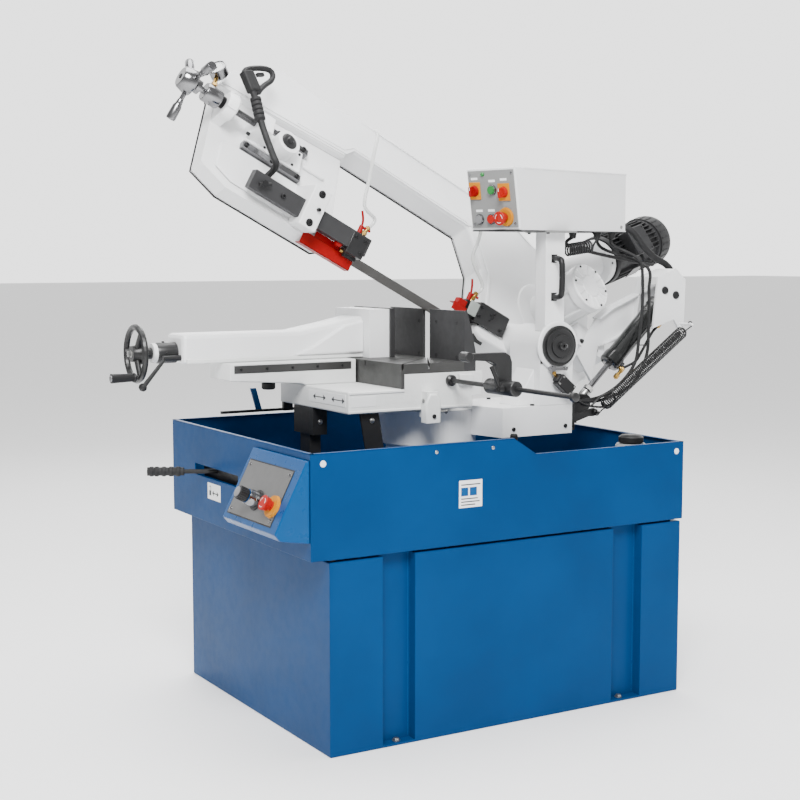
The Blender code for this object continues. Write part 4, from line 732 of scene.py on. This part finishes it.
solid("gauge_case", "head", "chrome", [lathe([(0.020, -0.018), (0.0255, -0.015), (0.0255, 0.008), (0.0275, 0.009),
                                                  (0.0275, 0.013), (0.0245, 0.014), (0.0235, 0.0105)],
                                                 gauge_at, gauge_out, 44)])
solid("gauge_dial", "head", "label", [lathe([(0.0235, 0.0098), (0.0235, 0.0108)], gauge_at, gauge_out, 40)])
dial_x = gauge_out.cross(AX_Y).normalized()
dial_y = gauge_out.cross(dial_x)
ticks = []
for k in range(13):
    a = math.radians(-225 + 22.5 * k)
    d = dial_x * math.cos(a) + dial_y * math.sin(a)
    ticks.append(cyl(gauge_at + gauge_out * 0.0110 + d * 0.0175, gauge_at + gauge_out * 0.0110 + d * 0.0215,
        0.0005, n=6))
needle = dial_x * math.cos(0.9) + dial_y * math.sin(0.9)
ticks.append(cyl(gauge_at + gauge_out * 0.0114 - needle * 0.005, gauge_at + gauge_out * 0.0114 + needle * 0.017, 0.0008,
                 0.0003, 6))
ticks.append(lathe([(0.0025, 0.0108), (0.0022, 0.013)], gauge_at, gauge_out, 16))
solid("gauge_marks", "head", "ink", ticks)
stem_low, stem_top = at(HEAD, -0.890, 0.202, 0.080), at(HEAD, -0.889, 0.248, 0.081)
solid("gauge_stem", "head", "brass", [lathe([(0.006, 0), (0.006, 0.010), (0.009, 0.010, 1), (0.009, 0.024, 1),
                                                 (0.0065, 0.026), (0.0065, 0.042)], stem_low, stem_top - stem_low, 18)])

# head handle
grip_bits = []
a, b = at(HEAD, -0.752, 0.154, 0.120), at(HEAD, -0.781, 0.220, 0.120)
for k in range(5):
    grip_bits.append(lathe([(0.010, 0), (0.0150, 0.004), (0.0155, 0.009), (0.0150, 0.013), (0.010, 0.0155)],
                           a.lerp(b, k / 5), b - a, 24))
solid("handle_grip", "head", "rubber", grip_bits)
block = basis(*[v.normalized() for v in (LEAN.cross(FRONT), LEAN, FRONT)], at(HEAD, -0.805, 0.262, 0.120))
block = block @ Matrix.Rotation(math.radians(38), 4, "Z")
solid("handle_body", "head", "rubber", placed(block, box((-0.019, -0.030, -0.0125), (0.019, 0.034, 0.0125))),
      bevel=0.005)
solid("handle_socket", "head", "cast_white", placed(HEAD, prism([(-0.700, 0.030), (-0.640, 0.026), (-0.560, 0.034),
                                                                 (-0.560, 0.062), (-0.640, 0.076), (-0.694, 0.072)],
                                                                0.0335, 0.046)), bevel=0.005)
solid("handle_screws", "head", "screw", [cap_screw(at(HEAD, s, t, 0.046), FRONT, 0.004, 0.002)
                                         for s, t in ((-0.585, 0.052), (-0.610, 0.046))])
trig = HEAD @ Matrix.Translation((-0.7925, 0.3235, 0.120)) @ Matrix.Rotation(math.atan2(0.060, 0.0776), 4, "Z")
solid("trigger_face", "trigger", "black", placed(trig, box((-0.0125, -0.0225, -0.005), (0.0125, -0.0205, 0.005))),
      bevel=0.001)

# guide clamp, guide bar, guards
solid("clamp_screws", "head", "screw", [
    *[lathe([(0.011, 0), (0.011, 0.001), (0.008, 0.001), (0.008, 0.006), (0.0045, 0.006, 1), (0.0045, 0.002, 1)],
            at(GUIDE, -0.528, r, 0.0998), -AX_Y, 24) for r in (0.090, 0.004)],
    cap_screw(at(GUIDE, -0.520, 0.047, 0.0998), -AX_Y, 0.0055, 0.010)])
solid("bar_plate", "guide_bar", "jaw", placed(GUIDE, box((-0.722, 0.009, 0.0795), (-0.560, 0.058, 0.0802))),
    bevel=0.001)
solid("bar_screws", "guide_bar", "screw", [cap_screw(at(GUIDE, -0.622, 0.033, 0.082), -AX_Y, 0.0065, 0.006),
                                           lathe([(0.006, 0), (0.006, 0.012), (0.009, 0.014), (0.009, 0.018)],
                                                 at(GUIDE, -0.690, 0.033, 0.081), -AX_Y, 20)])
solid("bar_lever", "guide_bar", "black", [cyl(at(GUIDE, -0.704, 0.024, 0.094), at(GUIDE, -0.672, 0.040, 0.094), 0.0045,
                                              0.0055, 16)])
solid("left_guide_block", "guide_bar", "black_cast", placed(
    GUIDE, box((-0.384, -0.006, 0.046), (-0.328, 0.058, 0.0815)), box((-0.372, -0.014, 0.014), (-0.330, 0.040, 0.052))),
      bevel=0.002)
solid("left_guide_screws", "guide_bar", "screw", [cap_screw(at(GUIDE, s, r, 0.0812), -AX_Y, 0.0048, 0.004)
                                                  for s, r in ((-0.372, 0.045), (-0.340, 0.045), (-0.340, 0.008))])
solid("left_guard", "guide_bar", "red", placed(
    GUIDE, box((-0.505, -0.042, 0.014), (-0.330, -0.040, 0.040)), box((-0.505, -0.042, 0.038), (-0.330, -0.006, 0.040)),
    box((-0.470, -0.008, 0.038), (-0.385, 0.010, 0.040))), bevel=0.0006)
solid("red_knob", "guide_bar", "red", [lathe([(0.006, 0), (0.006, 0.006), (0.0115, 0.008), (0.013, 0.018),
    (0.011, 0.023),
                                              (0.005, 0.025)], at(GUIDE, -0.405, 0.008, 0.046), -AX_Y, 10)])
solid("knob_stem", "guide_bar", "brass", [cyl(at(GUIDE, -0.405, 0.008, 0.030), at(GUIDE, -0.405, 0.008, 0.048), 0.004),
                                          lathe([(0.006, 0), (0.006, 0.010, 1), (0.004, 0.012)],
                                                at(GUIDE, -0.390, -0.006, 0.055), ALONG, 18)])


def tap_parts(m, s, r, k, lean):
    base = at(m, s, r, k)
    top = base + way(m, lean, 1, 0) * 0.034
    return base, top


for side, body, s, r, k, lean in (("left", "guide_bar", -0.350, 0.058, 0.064, 0.25),
                                  ("right", "head", 0.078, 0.071, 0.037, 0.25)):
    low, top = tap_parts(GUIDE, s, r, k, lean)
    solid(side + "_tap", body, "brass", [lathe([(0.0055, 0), (0.0055, 0.006), (0.0085, 0.006, 1), (0.0085, 0.016, 1),
                                               (0.0060, 0.017), (0.0060, 0.024), (0.0080, 0.025, 1), (0.0080, 0.033, 1),
                                               (0.0055, 0.035)], low, top - low, 18)])
lever_l = at(GUIDE, -0.363, 0.0845, 0.065)
solid("left_tap_lever", "left_valve", "red", [
    tube([lever_l + way(GUIDE, -0.002, -0.004, 0) * 0, lever_l + way(GUIDE, -0.3, 1, 0) * 0.018,
          lever_l + way(GUIDE, -0.5, 1, 0) * 0.042], 0.0034, 10, 5)])
lever_r = at(GUIDE, 0.068, 0.0945, 0.037)
solid("right_tap_lever", "right_valve", "red", [
    tube([lever_r, lever_r + way(GUIDE, -0.3, 1, 0) * 0.018, lever_r + way(GUIDE, -0.4, 1, 0) * 0.042], 0.0034, 10, 5)])
solid("right_guard", "head", "red", placed(GUIDE, box((0.016, 0.040, 0.028), (0.068, 0.043, 0.056)),
                                           box((0.016, 0.020, 0.053), (0.066, 0.043, 0.056)),
                                           box((0.030, 0.040, 0.030), (0.062, 0.062, 0.052))), bevel=0.002)
solid("right_guide_cap", "head", "pale_green", placed(GUIDE, box((0.068, 0.030, 0.0545), (0.100, 0.072, 0.062))),
      bevel=0.002)
solid("right_guide_plate", "head", "black_cast", placed(GUIDE, box((0.100, 0.020, 0.055), (0.216, 0.082, 0.0615))),
      bevel=0.0015)
solid("right_guide_screws", "head", "screw", [cap_screw(at(GUIDE, s, r, 0.0615), -AX_Y, 0.005, 0.005)
                                              for s, r in ((0.110, 0.070), (0.110, 0.040), (0.200, 0.036))] + [
    cap_screw(at(GUIDE, s, r, 0.0615), -AX_Y, 0.0035, 0.003) for s, r in ((0.150, 0.062), (0.158, 0.055),
        (0.152, 0.046),
                                                                          (0.160, 0.068))])
brush = placed(GUIDE, box((0.128, -0.030, 0.040), (0.170, 0.024, 0.046)), box((0.108, -0.070, 0.030), (0.140, -0.028,
                                                                                                     0.046)))
solid("chip_brush_arm", "head", "black_cast", brush, bevel=0.002)
tooth = []
for k in range(150):
    s = -0.375 + 0.5 * k / 150
    tooth.append((s, s + 0.0033))
teeth_verts, teeth_faces = [], []
for s0, s1 in tooth:
    base = len(teeth_verts)
    for s, r in ((s0, -0.0128), (s1, -0.0128), (s0 + 0.0006, -0.0150)):
        for k in (-0.00045, 0.00045):
            teeth_verts.append(at(GUIDE, s, r, k))
    teeth_faces += [(base, base + 2, base + 4), (base + 1, base + 5, base + 3), (base, base + 4, base + 5, base + 1),
                    (base + 2, base + 3, base + 5, base + 4)]
solid("blade_teeth", "head", "blade", [(teeth_verts, teeth_faces)])

# coolant hoses
top_l, top_r = tap_parts(GUIDE, -0.350, 0.058, 0.064, 0.25)[1], tap_parts(GUIDE, 0.078, 0.071, 0.037, 0.25)[1]
solid("hose_left", None, "hose", [tube([top_l - way(GUIDE, 0.25, 1, 0) * 0.006, top_l + way(GUIDE, 0.25, 1, 0) * 0.03,
                                        (-0.226, -0.010, 1.395), (-0.205, 0.0, 1.470), (-0.180, 0.015, 1.545),
                                        (-0.155, 0.040, 1.592), (-0.136, 0.085, 1.612)], 0.0052)],
      between=("head", "guide_bar", (-0.155, 0.04, 1.592), top_l))
solid("hose_right", "head", "hose", [tube([top_r - way(GUIDE, 0.25, 1, 0) * 0.006, top_r + way(GUIDE, 0.25, 1,
    0) * 0.03,
                                           (0.158, 0.022, 1.245), (0.176, 0.020, 1.300), (0.186, 0.020, 1.345),
                                           (0.190, 0.045, 1.400), (0.186, 0.085, 1.440)], 0.0052)])

# ---------------------------------------------------------------- gearbox, motor
disc = [lathe([(0.075, 0.250), (0.0765, 0.252), (0.0765, 0.258), (0.072, 0.2615), (0.068, 0.2585), (0.036, 0.2585),
               (0.034, 0.2625), (0.012, 0.2630)], at(HEAD, DRIVE_S, WHEEL_T, 0), FRONT, 64)]
solid("gear_cover", "head", "cast_white", disc)
spokes = []
for i in range(14):
    turn = HEAD @ Matrix.Translation((DRIVE_S, WHEEL_T, 0.2580)) @ Matrix.Rotation(math.tau * i / 14, 4, "Z")
    spokes += placed(turn, box((0.036, -0.0018, 0.0), (0.071, 0.0018, 0.0038)))
solid("gear_cover_ribs", "head", "cast_white", spokes, bevel=0.0008)
shell = []
for i in range(6):
    turn = HEAD @ Matrix.Translation((DRIVE_S, WHEEL_T, 0)) @ Matrix.Rotation(math.tau * (i + 0.5) / 6, 4, "Z")
    shell += placed(turn, box((0.060, -0.0045, 0.112), (0.074, 0.0045, 0.232)))
solid("gear_ribs", "head", "cast_white", shell, bevel=0.002)
solid("gear_bolts", "head", "screw", [cap_screw(at(HEAD, DRIVE_S + 0.0665 * math.cos(a), WHEEL_T + 0.0665 * math.sin(a),
                                                   0.2605), FRONT, 0.0035, 0.003)
                                      for a in [math.tau * (i + 0.25) / 6 for i in range(6)]])
solid("oil_plug", "head", "brass", [lathe([(0.009, 0), (0.009, 0.004), (0.007, 0.004, 1), (0.007, 0.010, 1)],
                                          at(HEAD, DRIVE_S - 0.0655, WHEEL_T - 0.012, 0.180), way(HEAD, -1,
                        -0.18, 0), 18)])
m_x, m_y, m_z = (way(MOTOR, *v) for v in ((1, 0, 0), (0, 1, 0), (0, 0, 1)))
m0 = at(MOTOR, 0, 0, 0)
solid("motor_frame", "head", "fin_black", [
    lathe([(0.050, 0.1905), (0.079, 0.1905), (0.081, 0.194), (0.081, 0.212), (0.078, 0.216), (0.070, 0.220),
           (0.070, 0.470), (0.078, 0.474), (0.080, 0.480), (0.080, 0.492), (0.060, 0.494)], m0, m_x, 56)],
      stands_for=["motor"])
fins = []
for i in range(32):
    turn = MOTOR @ Matrix.Rotation(math.tau * (i + 0.5) / 32, 4, "X")
    if 3 <= i <= 4:
        continue
    fins += placed(turn, box((0.218, -0.0014, 0.066), (0.474, 0.0014, 0.0815)))
solid("motor_fins", "head", "fin_black", fins)
solid("fan_cover", "head", "black", [lathe([(0.0795, 0.483), (0.0845, 0.484), (0.0850, 0.535), (0.082, 0.547),
                                            (0.074, 0.5515), (0.030, 0.553)], m0, m_x, 56)])
grille = []
for i in range(24):
    turn = MOTOR @ Matrix.Rotation(math.tau * i / 24, 4, "X")
    grille += placed(turn, box((0.5505, -0.0015, 0.036), (0.5545, 0.0015, 0.070)))
    grille += placed(turn, box((0.492, -0.003, 0.083), (0.526, 0.003, 0.0858)))
grille.append(lathe([(0.020, 0.553), (0.024, 0.5545), (0.018, 0.5560)], m0, m_x, 36))
solid("fan_grille", "head", "fin_black", grille)
solid("motor_flange_bolts", "head", "screw", [hex_bolt(m0 + m_x * 0.1895 + m_y * (0.064 * math.cos(a)) + m_z * (
    0.064 * math.sin(a)), -m_x, 0.0055, 0.006) for a in [math.tau * (i + 0.5) / 4 for i in range(4)]] + [
    cap_screw(m0 + m_x * 0.165 + m_y * (0.0725 * math.cos(a)) + m_z * (0.0725 * math.sin(a)),
              m_y * math.cos(a) + m_z * math.sin(a), 0.004, 0.003) for a in (0.4, 2.0, 3.6, 5.2)])
solid("flange_rim", "head", "cast_white", [lathe([(0.066, 0.158), (0.0735, 0.160), (0.0745, 0.166), (0.0745, 0.182),
                                                  (0.0735, 0.1885), (0.066, 0.189)], m0, m_x, 56)])
term = placed(MOTOR, box((0.262, -0.043, 0.068), (0.358, 0.043, 0.108)))
solid("terminal_box", "head", "black", term, bevel=0.004)
solid("terminal_lid", "head", "fin_black", placed(MOTOR, box((0.260, -0.045, 0.106), (0.360, 0.045, 0.1145))),
      bevel=0.003)
solid("terminal_screws", "head", "screw", [cap_screw(at(MOTOR, x, y, 0.1143), m_z, 0.0032, 0.0015)
                                           for x in (0.268, 0.352) for y in (-0.037, 0.037)])
solid("motor_plate", "head", "plate", placed(MOTOR @ Matrix.Rotation(math.radians(75), 4, "X"), box((0.30,
    -0.022, 0.0805),
                                                                                                 (0.37, 0.022, 0.0825))))

# ---------------------------------------------------------------- tail arm, cylinder, spring
solid("tail_pins", "head", "screw", [lathe([(0.0125, 0), (0.0125, 0.002), (0.0105, 0.005), (0.006, 0.0055)],
                                           (x, -0.1359, z), -AX_Y, 28) for x, z in ((0.806, 1.135), (0.762, 1.150))])
solid("tail_gusset", "head", "sheet_white", [
    *placed(UPRIGHT, prism([(0.7353, 1.190), (0.8043, 1.2150), (0.8043, 1.2158), (0.7353, 1.1908)], 0.040, 0.136)),
    *placed(UPRIGHT, prism([(0.60, 0.984), (0.715, 1.033), (0.7353, 1.1905), (0.731, 1.1925), (0.711, 1.038),
                            (0.60, 0.989)], 0.040, 0.060))], bevel=0.0008)
solid("tail_edge", "head", "sheet_white", placed(UPRIGHT, prism([(0.575, 1.062), (0.622, 1.092), (0.800, 1.162),
                                                                 (0.800, 1.167), (0.620, 1.097), (0.572, 1.067)],
                                                                0.020, 0.060)), bevel=0.0008)
solid("tail_bolts", "head", "screw", [hex_bolt(at(HEAD, s, t, 0.155), FRONT, 0.007, 0.006)
                                      for s, t in ((0.52, 0.062), (0.52, 0.108), (0.46, 0.062))])
top, low = Vector((0.806, -0.09, 1.135)), Vector((0.467, -0.09, 0.819))
u = (low - top).normalized()
p = Vector((-u.z, 0, u.x))
if p.z > 0:
    p = -p
solid("cylinder_caps", "barrel", "gloss_black", [
    lathe([(0.026, 0.036), (0.0325, 0.040), (0.0325, 0.062), (0.030, 0.064)], top, u, 48),
    lathe([(0.030, 0.268), (0.0325, 0.270), (0.0335, 0.276), (0.0335, 0.300), (0.030, 0.304), (0.014, 0.306)],
        top, u, 48)])
solid("cylinder_cap_bolts", "barrel", "screw",
    [cap_screw(top + u * 0.303 + (p * math.cos(a) + AX_Y * math.sin(a)) * 0.0235,
                                                          u, 0.0038, 0.004) for a in [math.tau * i / 4 + 0.6
                                                                                     for i in range(4)]])
side = (p * 0.80 - AX_Y * 0.60).normalized()
fits = []
for d in (0.070, 0.292):
    spot = top + u * d + side * 0.030
    fits.append(lathe([(0.006, 0), (0.006, 0.010), (0.0085, 0.010, 1), (0.0085, 0.016, 1)], spot, side, 18))
    run = spot + side * 0.012
    fits.append(lathe([(0.0055, -0.006), (0.0075, -0.004, 1), (0.0075, 0.010, 1), (0.0058, 0.011), (0.0058, 0.022),
                       (0.0082, 0.023, 1), (0.0082, 0.036, 1), (0.0050, 0.039)], run, u, 18))
solid("cylinder_fittings", "barrel", "brass", fits)
solid("fitting_elbows", "barrel", "black", [lathe([(0.008, 0), (0.010, 0.002), (0.010, 0.009), (0.007, 0.011)],
                                                  top + u * d + side * 0.028, side, 20) for d in (0.060, 0.282)])
ends = [top + u * (d + 0.037) + side * 0.042 for d in (0.070, 0.292)]
solid("oil_line", "barrel", "rubber", [tube([ends[0], ends[0] + u * 0.03, ends[0] + u * 0.10 + side * 0.012,
                                             ends[1] - u * 0.085 + side * 0.016, ends[1] - u * 0.052 + side * 0.004,
                                             ends[1] - u * 0.044], 0.0042)])
solid("rod_nuts", "rod", "zinc", [lathe([(0.013, 0), (0.0155, 0, 1), (0.0155, 0.012, 1), (0.013, 0.012)],
                                        top + u * 0.405, u, 18),
                                  lathe([(0.012, 0), (0.0145, 0.002), (0.0145, 0.020), (0.012, 0.024)],
                                        top + u * 0.420, u, 28)])
solid("bracket_pins", "swivel", "screw", [hex_bolt((0.467, -0.1185, 0.819), -AX_Y, 0.010, 0.006),
                                          cap_screw((0.386, -0.1722, 0.757), -AX_Y, 0.005, 0.004)])

hook, eye = Vector((0.828, -0.179, 1.046)), Vector((0.469, -0.179, 0.793))
d = (eye - hook).normalized()
length = (eye - hook).length
side_y = AX_Y
up = d.cross(side_y).normalized()
coil = [hook + d * (-0.0085 * math.cos(q)) + up * (0.0085 * math.sin(q))
        for q in [math.radians(-110 + 220 * i / 8) for i in range(9)]]
coil.append(hook + d * 0.020 + up * 0.006)
turns, begin = 58, 0.030
finish_at = length - begin
for i in range(turns * 12 + 1):
    q = math.tau * i / 12
    x = begin + (finish_at - begin) * i / (turns * 12)
    taper = min(1.0, 0.45 + min(x - begin, finish_at - x) / 0.018)
    coil.append(hook + d * x + (up * math.cos(q) + side_y * math.sin(q)) * 0.0175 * taper)
coil.append(eye - d * 0.020 + up * 0.006)
coil += [eye + d * (0.0085 * math.cos(q)) + up * (0.0085 * math.sin(q))
         for q in [math.radians(110 - 220 * i / 8) for i in range(9)]]
solid("coil_spring", None, "black_cast", [tube(coil, 0.0021, 6, 1)], stands_for=["return_spring"],
      between=("head", "swivel", hook, eye))

# ---------------------------------------------------------------- cables
conduit = [at(BOX, 0.510, 0.10, 0.035), at(BOX, 0.540, 0.098, 0.020), (0.700, -0.040, 1.335), (0.747, -0.055, 1.280),
           (0.785, -0.06, 1.249), (0.826, -0.062, 1.230), (0.848, -0.066, 1.205), (0.842, -0.075, 1.170),
           (0.822, -0.085, 1.150)]
solid("conduit", None, "rubber", [tube(conduit, 0.0105, 14, 8)],
      between=("swivel", "head", Vector(conduit[1]), Vector(conduit[5])))
leads = [
    [at(BOX, 0.47, 0.03, -0.012), at(BOX, 0.475, 0.028, -0.04), (0.652, -0.140, 1.245), (0.668, -0.142, 1.18),
     (0.666, -0.143, 1.08), (0.655, -0.144, 1.00), (0.640, -0.144, 0.93), (0.58, -0.150, 0.872), (0.50, -0.152, 0.835),
     (0.41, -0.150, 0.8265)],
    [at(BOX, 0.47, 0.085, -0.012), at(BOX, 0.48, 0.07, -0.05), (0.680, -0.142, 1.225), (0.693, -0.1425, 1.15),
     (0.693, -0.1435, 1.05), (0.688, -0.144, 0.96), (0.650, -0.147, 0.89), (0.59, -0.153, 0.850), (0.50, -0.158, 0.826),
     (0.41, -0.158, 0.8265)],
]
solid("hanging_leads", "swivel", "rubber", [tube(route, 0.0050, 10, 8) for route in leads])
ties = []
for z, x in ((1.225, 0.668), (1.09, 0.680), (0.985, 0.672)):
    ties.append(tube([(x - 0.020, -0.142, z), (x, -0.1495, z), (x + 0.020, -0.142, z), (x, -0.136, z)], 0.0012, 6, 5,
                     closed=True))
solid("lead_ties", "swivel", "black", ties)
c0, c1 = Vector((0.362, -0.162, 1.272)), Vector((0.448, -0.162, 1.284))
curl = [Vector((0.347, -0.150, 1.262))]
for i in range(10 * 12 + 1):
    q = math.tau * i / 12
    curl.append(c0.lerp(c1, i / 120) + Vector((0, math.cos(q), math.sin(q))) * 0.0165)
curl += [Vector((0.462, -0.158, 1.268)), Vector((0.470, -0.150, 1.285)), Vector((0.495, -0.138, 1.308)),
         at(BOX, 0.36, 0.02, -0.002)]
solid("curly_lead", "swivel", "black", [tube(curl, 0.0030, 8, 1)])
solid("motor_lead", None, "rubber", [tube([at(BOX, 0.42, 0.14, -0.014), at(BOX, 0.43, 0.15, -0.045),
                                           at(MOTOR, 0.30, -0.085, 0.100), at(MOTOR, 0.31, -0.062, 0.088),
                                           at(MOTOR, 0.31, -0.044, 0.088)], 0.0055, 10, 8)],
      between=("swivel", "head", at(BOX, 0.43, 0.15, -0.045), at(MOTOR, 0.31, -0.062, 0.088)))

# ---------------------------------------------------------------- back of the head
LID = HEAD @ Matrix.Translation((0, 0, -0.0323))
solid("cover_screws", "rear_cover", "zinc", [dome(at(LID, s, t, 0), -FRONT, 0.006, 0.004) for s, t in (
    (-0.82, 0.03), (-0.60, -0.02), (-0.45, 0.02), (-0.43, 0.28), (0.10, 0.28), (0.15, -0.02), (0.48, -0.02),
        (0.58, 0.2))])
solid("cover_hinges", "rear_cover", "zinc", [cyl(at(HEAD, s - 0.03, 0.4775, -0.034), at(HEAD, s + 0.03, 0.4775, -0.034),
                                                 0.004) for s in (-0.33, 0.12)])
solid("cover_latch", "rear_cover", "black", placed(LID, box((-0.18, 0.345, -0.010), (-0.12, 0.365, 0.001))),
    bevel=0.003)
press = [(-0.80, 0.03), (-0.76, 0.0), (-0.50, 0.0), (-0.46, 0.04), (-0.46, 0.32), (-0.43, 0.36), (0.09, 0.36),
         (0.165, 0.22), (0.165, 0.01), (0.49, 0.005), (0.555, 0.06), (0.555, 0.27), (0.49, 0.355), (0.32, 0.39),
         (0.21, 0.435), (-0.39, 0.43), (-0.66, 0.41), (-0.79, 0.31)]
solid("cover_panel", "rear_cover", "sheet_white", placed(LID, prism(press, -0.003, 0.0004)), bevel=0.0012)

# ---------------------------------------------------------------- floor, light, camera
FLOOR_HALF = 60
VIEW_SIDE = (0.51, 0.86, 0.0)  # the world is brightest on this side, behind the saw
SIDE_LIGHT, BACKDROP_LIGHT = 0.55, 2.5
LIGHTS_AIM = Vector((0, 0, 0.8))
floor_mat = surface("pale_floor", (0.95, 0.95, 0.95), 0.75, vary=0.01, grain=30, bump=0.02, edge=0.0,
    glow=(0.8, 0.8, 0.8))
floor_mesh = bpy.data.meshes.new("floor")
floor_mesh.from_pydata([(-FLOOR_HALF, -FLOOR_HALF, 0), (FLOOR_HALF, -FLOOR_HALF, 0), (FLOOR_HALF, FLOOR_HALF, 0),
                        (-FLOOR_HALF, FLOOR_HALF, 0)], [], [(0, 1, 2, 3)])
floor_mesh.materials.append(floor_mat)
floor = bpy.data.objects.new("floor", floor_mesh)
bpy.context.scene.collection.objects.link(floor)

world = bpy.data.worlds.new("studio")
bpy.context.scene.world = world
world.use_nodes = True
world.node_tree.nodes["Background"].inputs["Color"].default_value = (1.0, 1.0, 1.0, 1.0)
sky = world.node_tree.nodes
towards = sky.new("ShaderNodeTexCoord")
facing = sky.new("ShaderNodeVectorMath")
facing.operation = "DOT_PRODUCT"
facing.inputs[1].default_value = VIEW_SIDE
backdrop = sky.new("ShaderNodeMapRange")
for socket, value in (("From Min", 0.2), ("From Max", 0.9), ("To Min", SIDE_LIGHT), ("To Max", BACKDROP_LIGHT)):
    backdrop.inputs[socket].default_value = value
world.node_tree.links.new(towards.outputs["Generated"], facing.inputs[0])
world.node_tree.links.new(facing.outputs["Value"], backdrop.inputs["Value"])
world.node_tree.links.new(backdrop.outputs["Result"], sky["Background"].inputs["Strength"])

for name, where, size, power in (("key_light", (-2.2, -3.6, 4.4), 2.4, 560.0), ("fill_light", (3.6, -2.4, 2.6),
    3.0, 20.0),
                                 ("top_light", (0.0, 0.5, 4.6), 3.2, 200.0), ("back_light", (1.5, 4.0, 3.0),
                        2.5, 60.0)):
    data = bpy.data.lights.new(name, "AREA")
    data.shape = "DISK"
    data.size = size
    data.energy = power
    light = bpy.data.objects.new(name, data)
    light.location = where
    light.rotation_euler = (LIGHTS_AIM - Vector(where)).to_track_quat("-Z", "Y").to_euler()
    bpy.context.scene.collection.objects.link(light)

lens = bpy.data.cameras.new("camera")
lens.lens = 65.754
lens.sensor_width = 36.0
lens.clip_end = 200.0
camera = bpy.data.objects.new("camera", lens)
yaw, pitch = math.radians(30.77), math.radians(5.70)
look = Vector((math.sin(yaw) * math.cos(pitch), math.cos(yaw) * math.cos(pitch), -math.sin(pitch)))
camera.location = (-2.2424, -3.5897, 1.2608)
camera.rotation_euler = look.to_track_quat("-Z", "Y").to_euler()
bpy.context.scene.collection.objects.link(camera)
bpy.context.scene.camera = camera
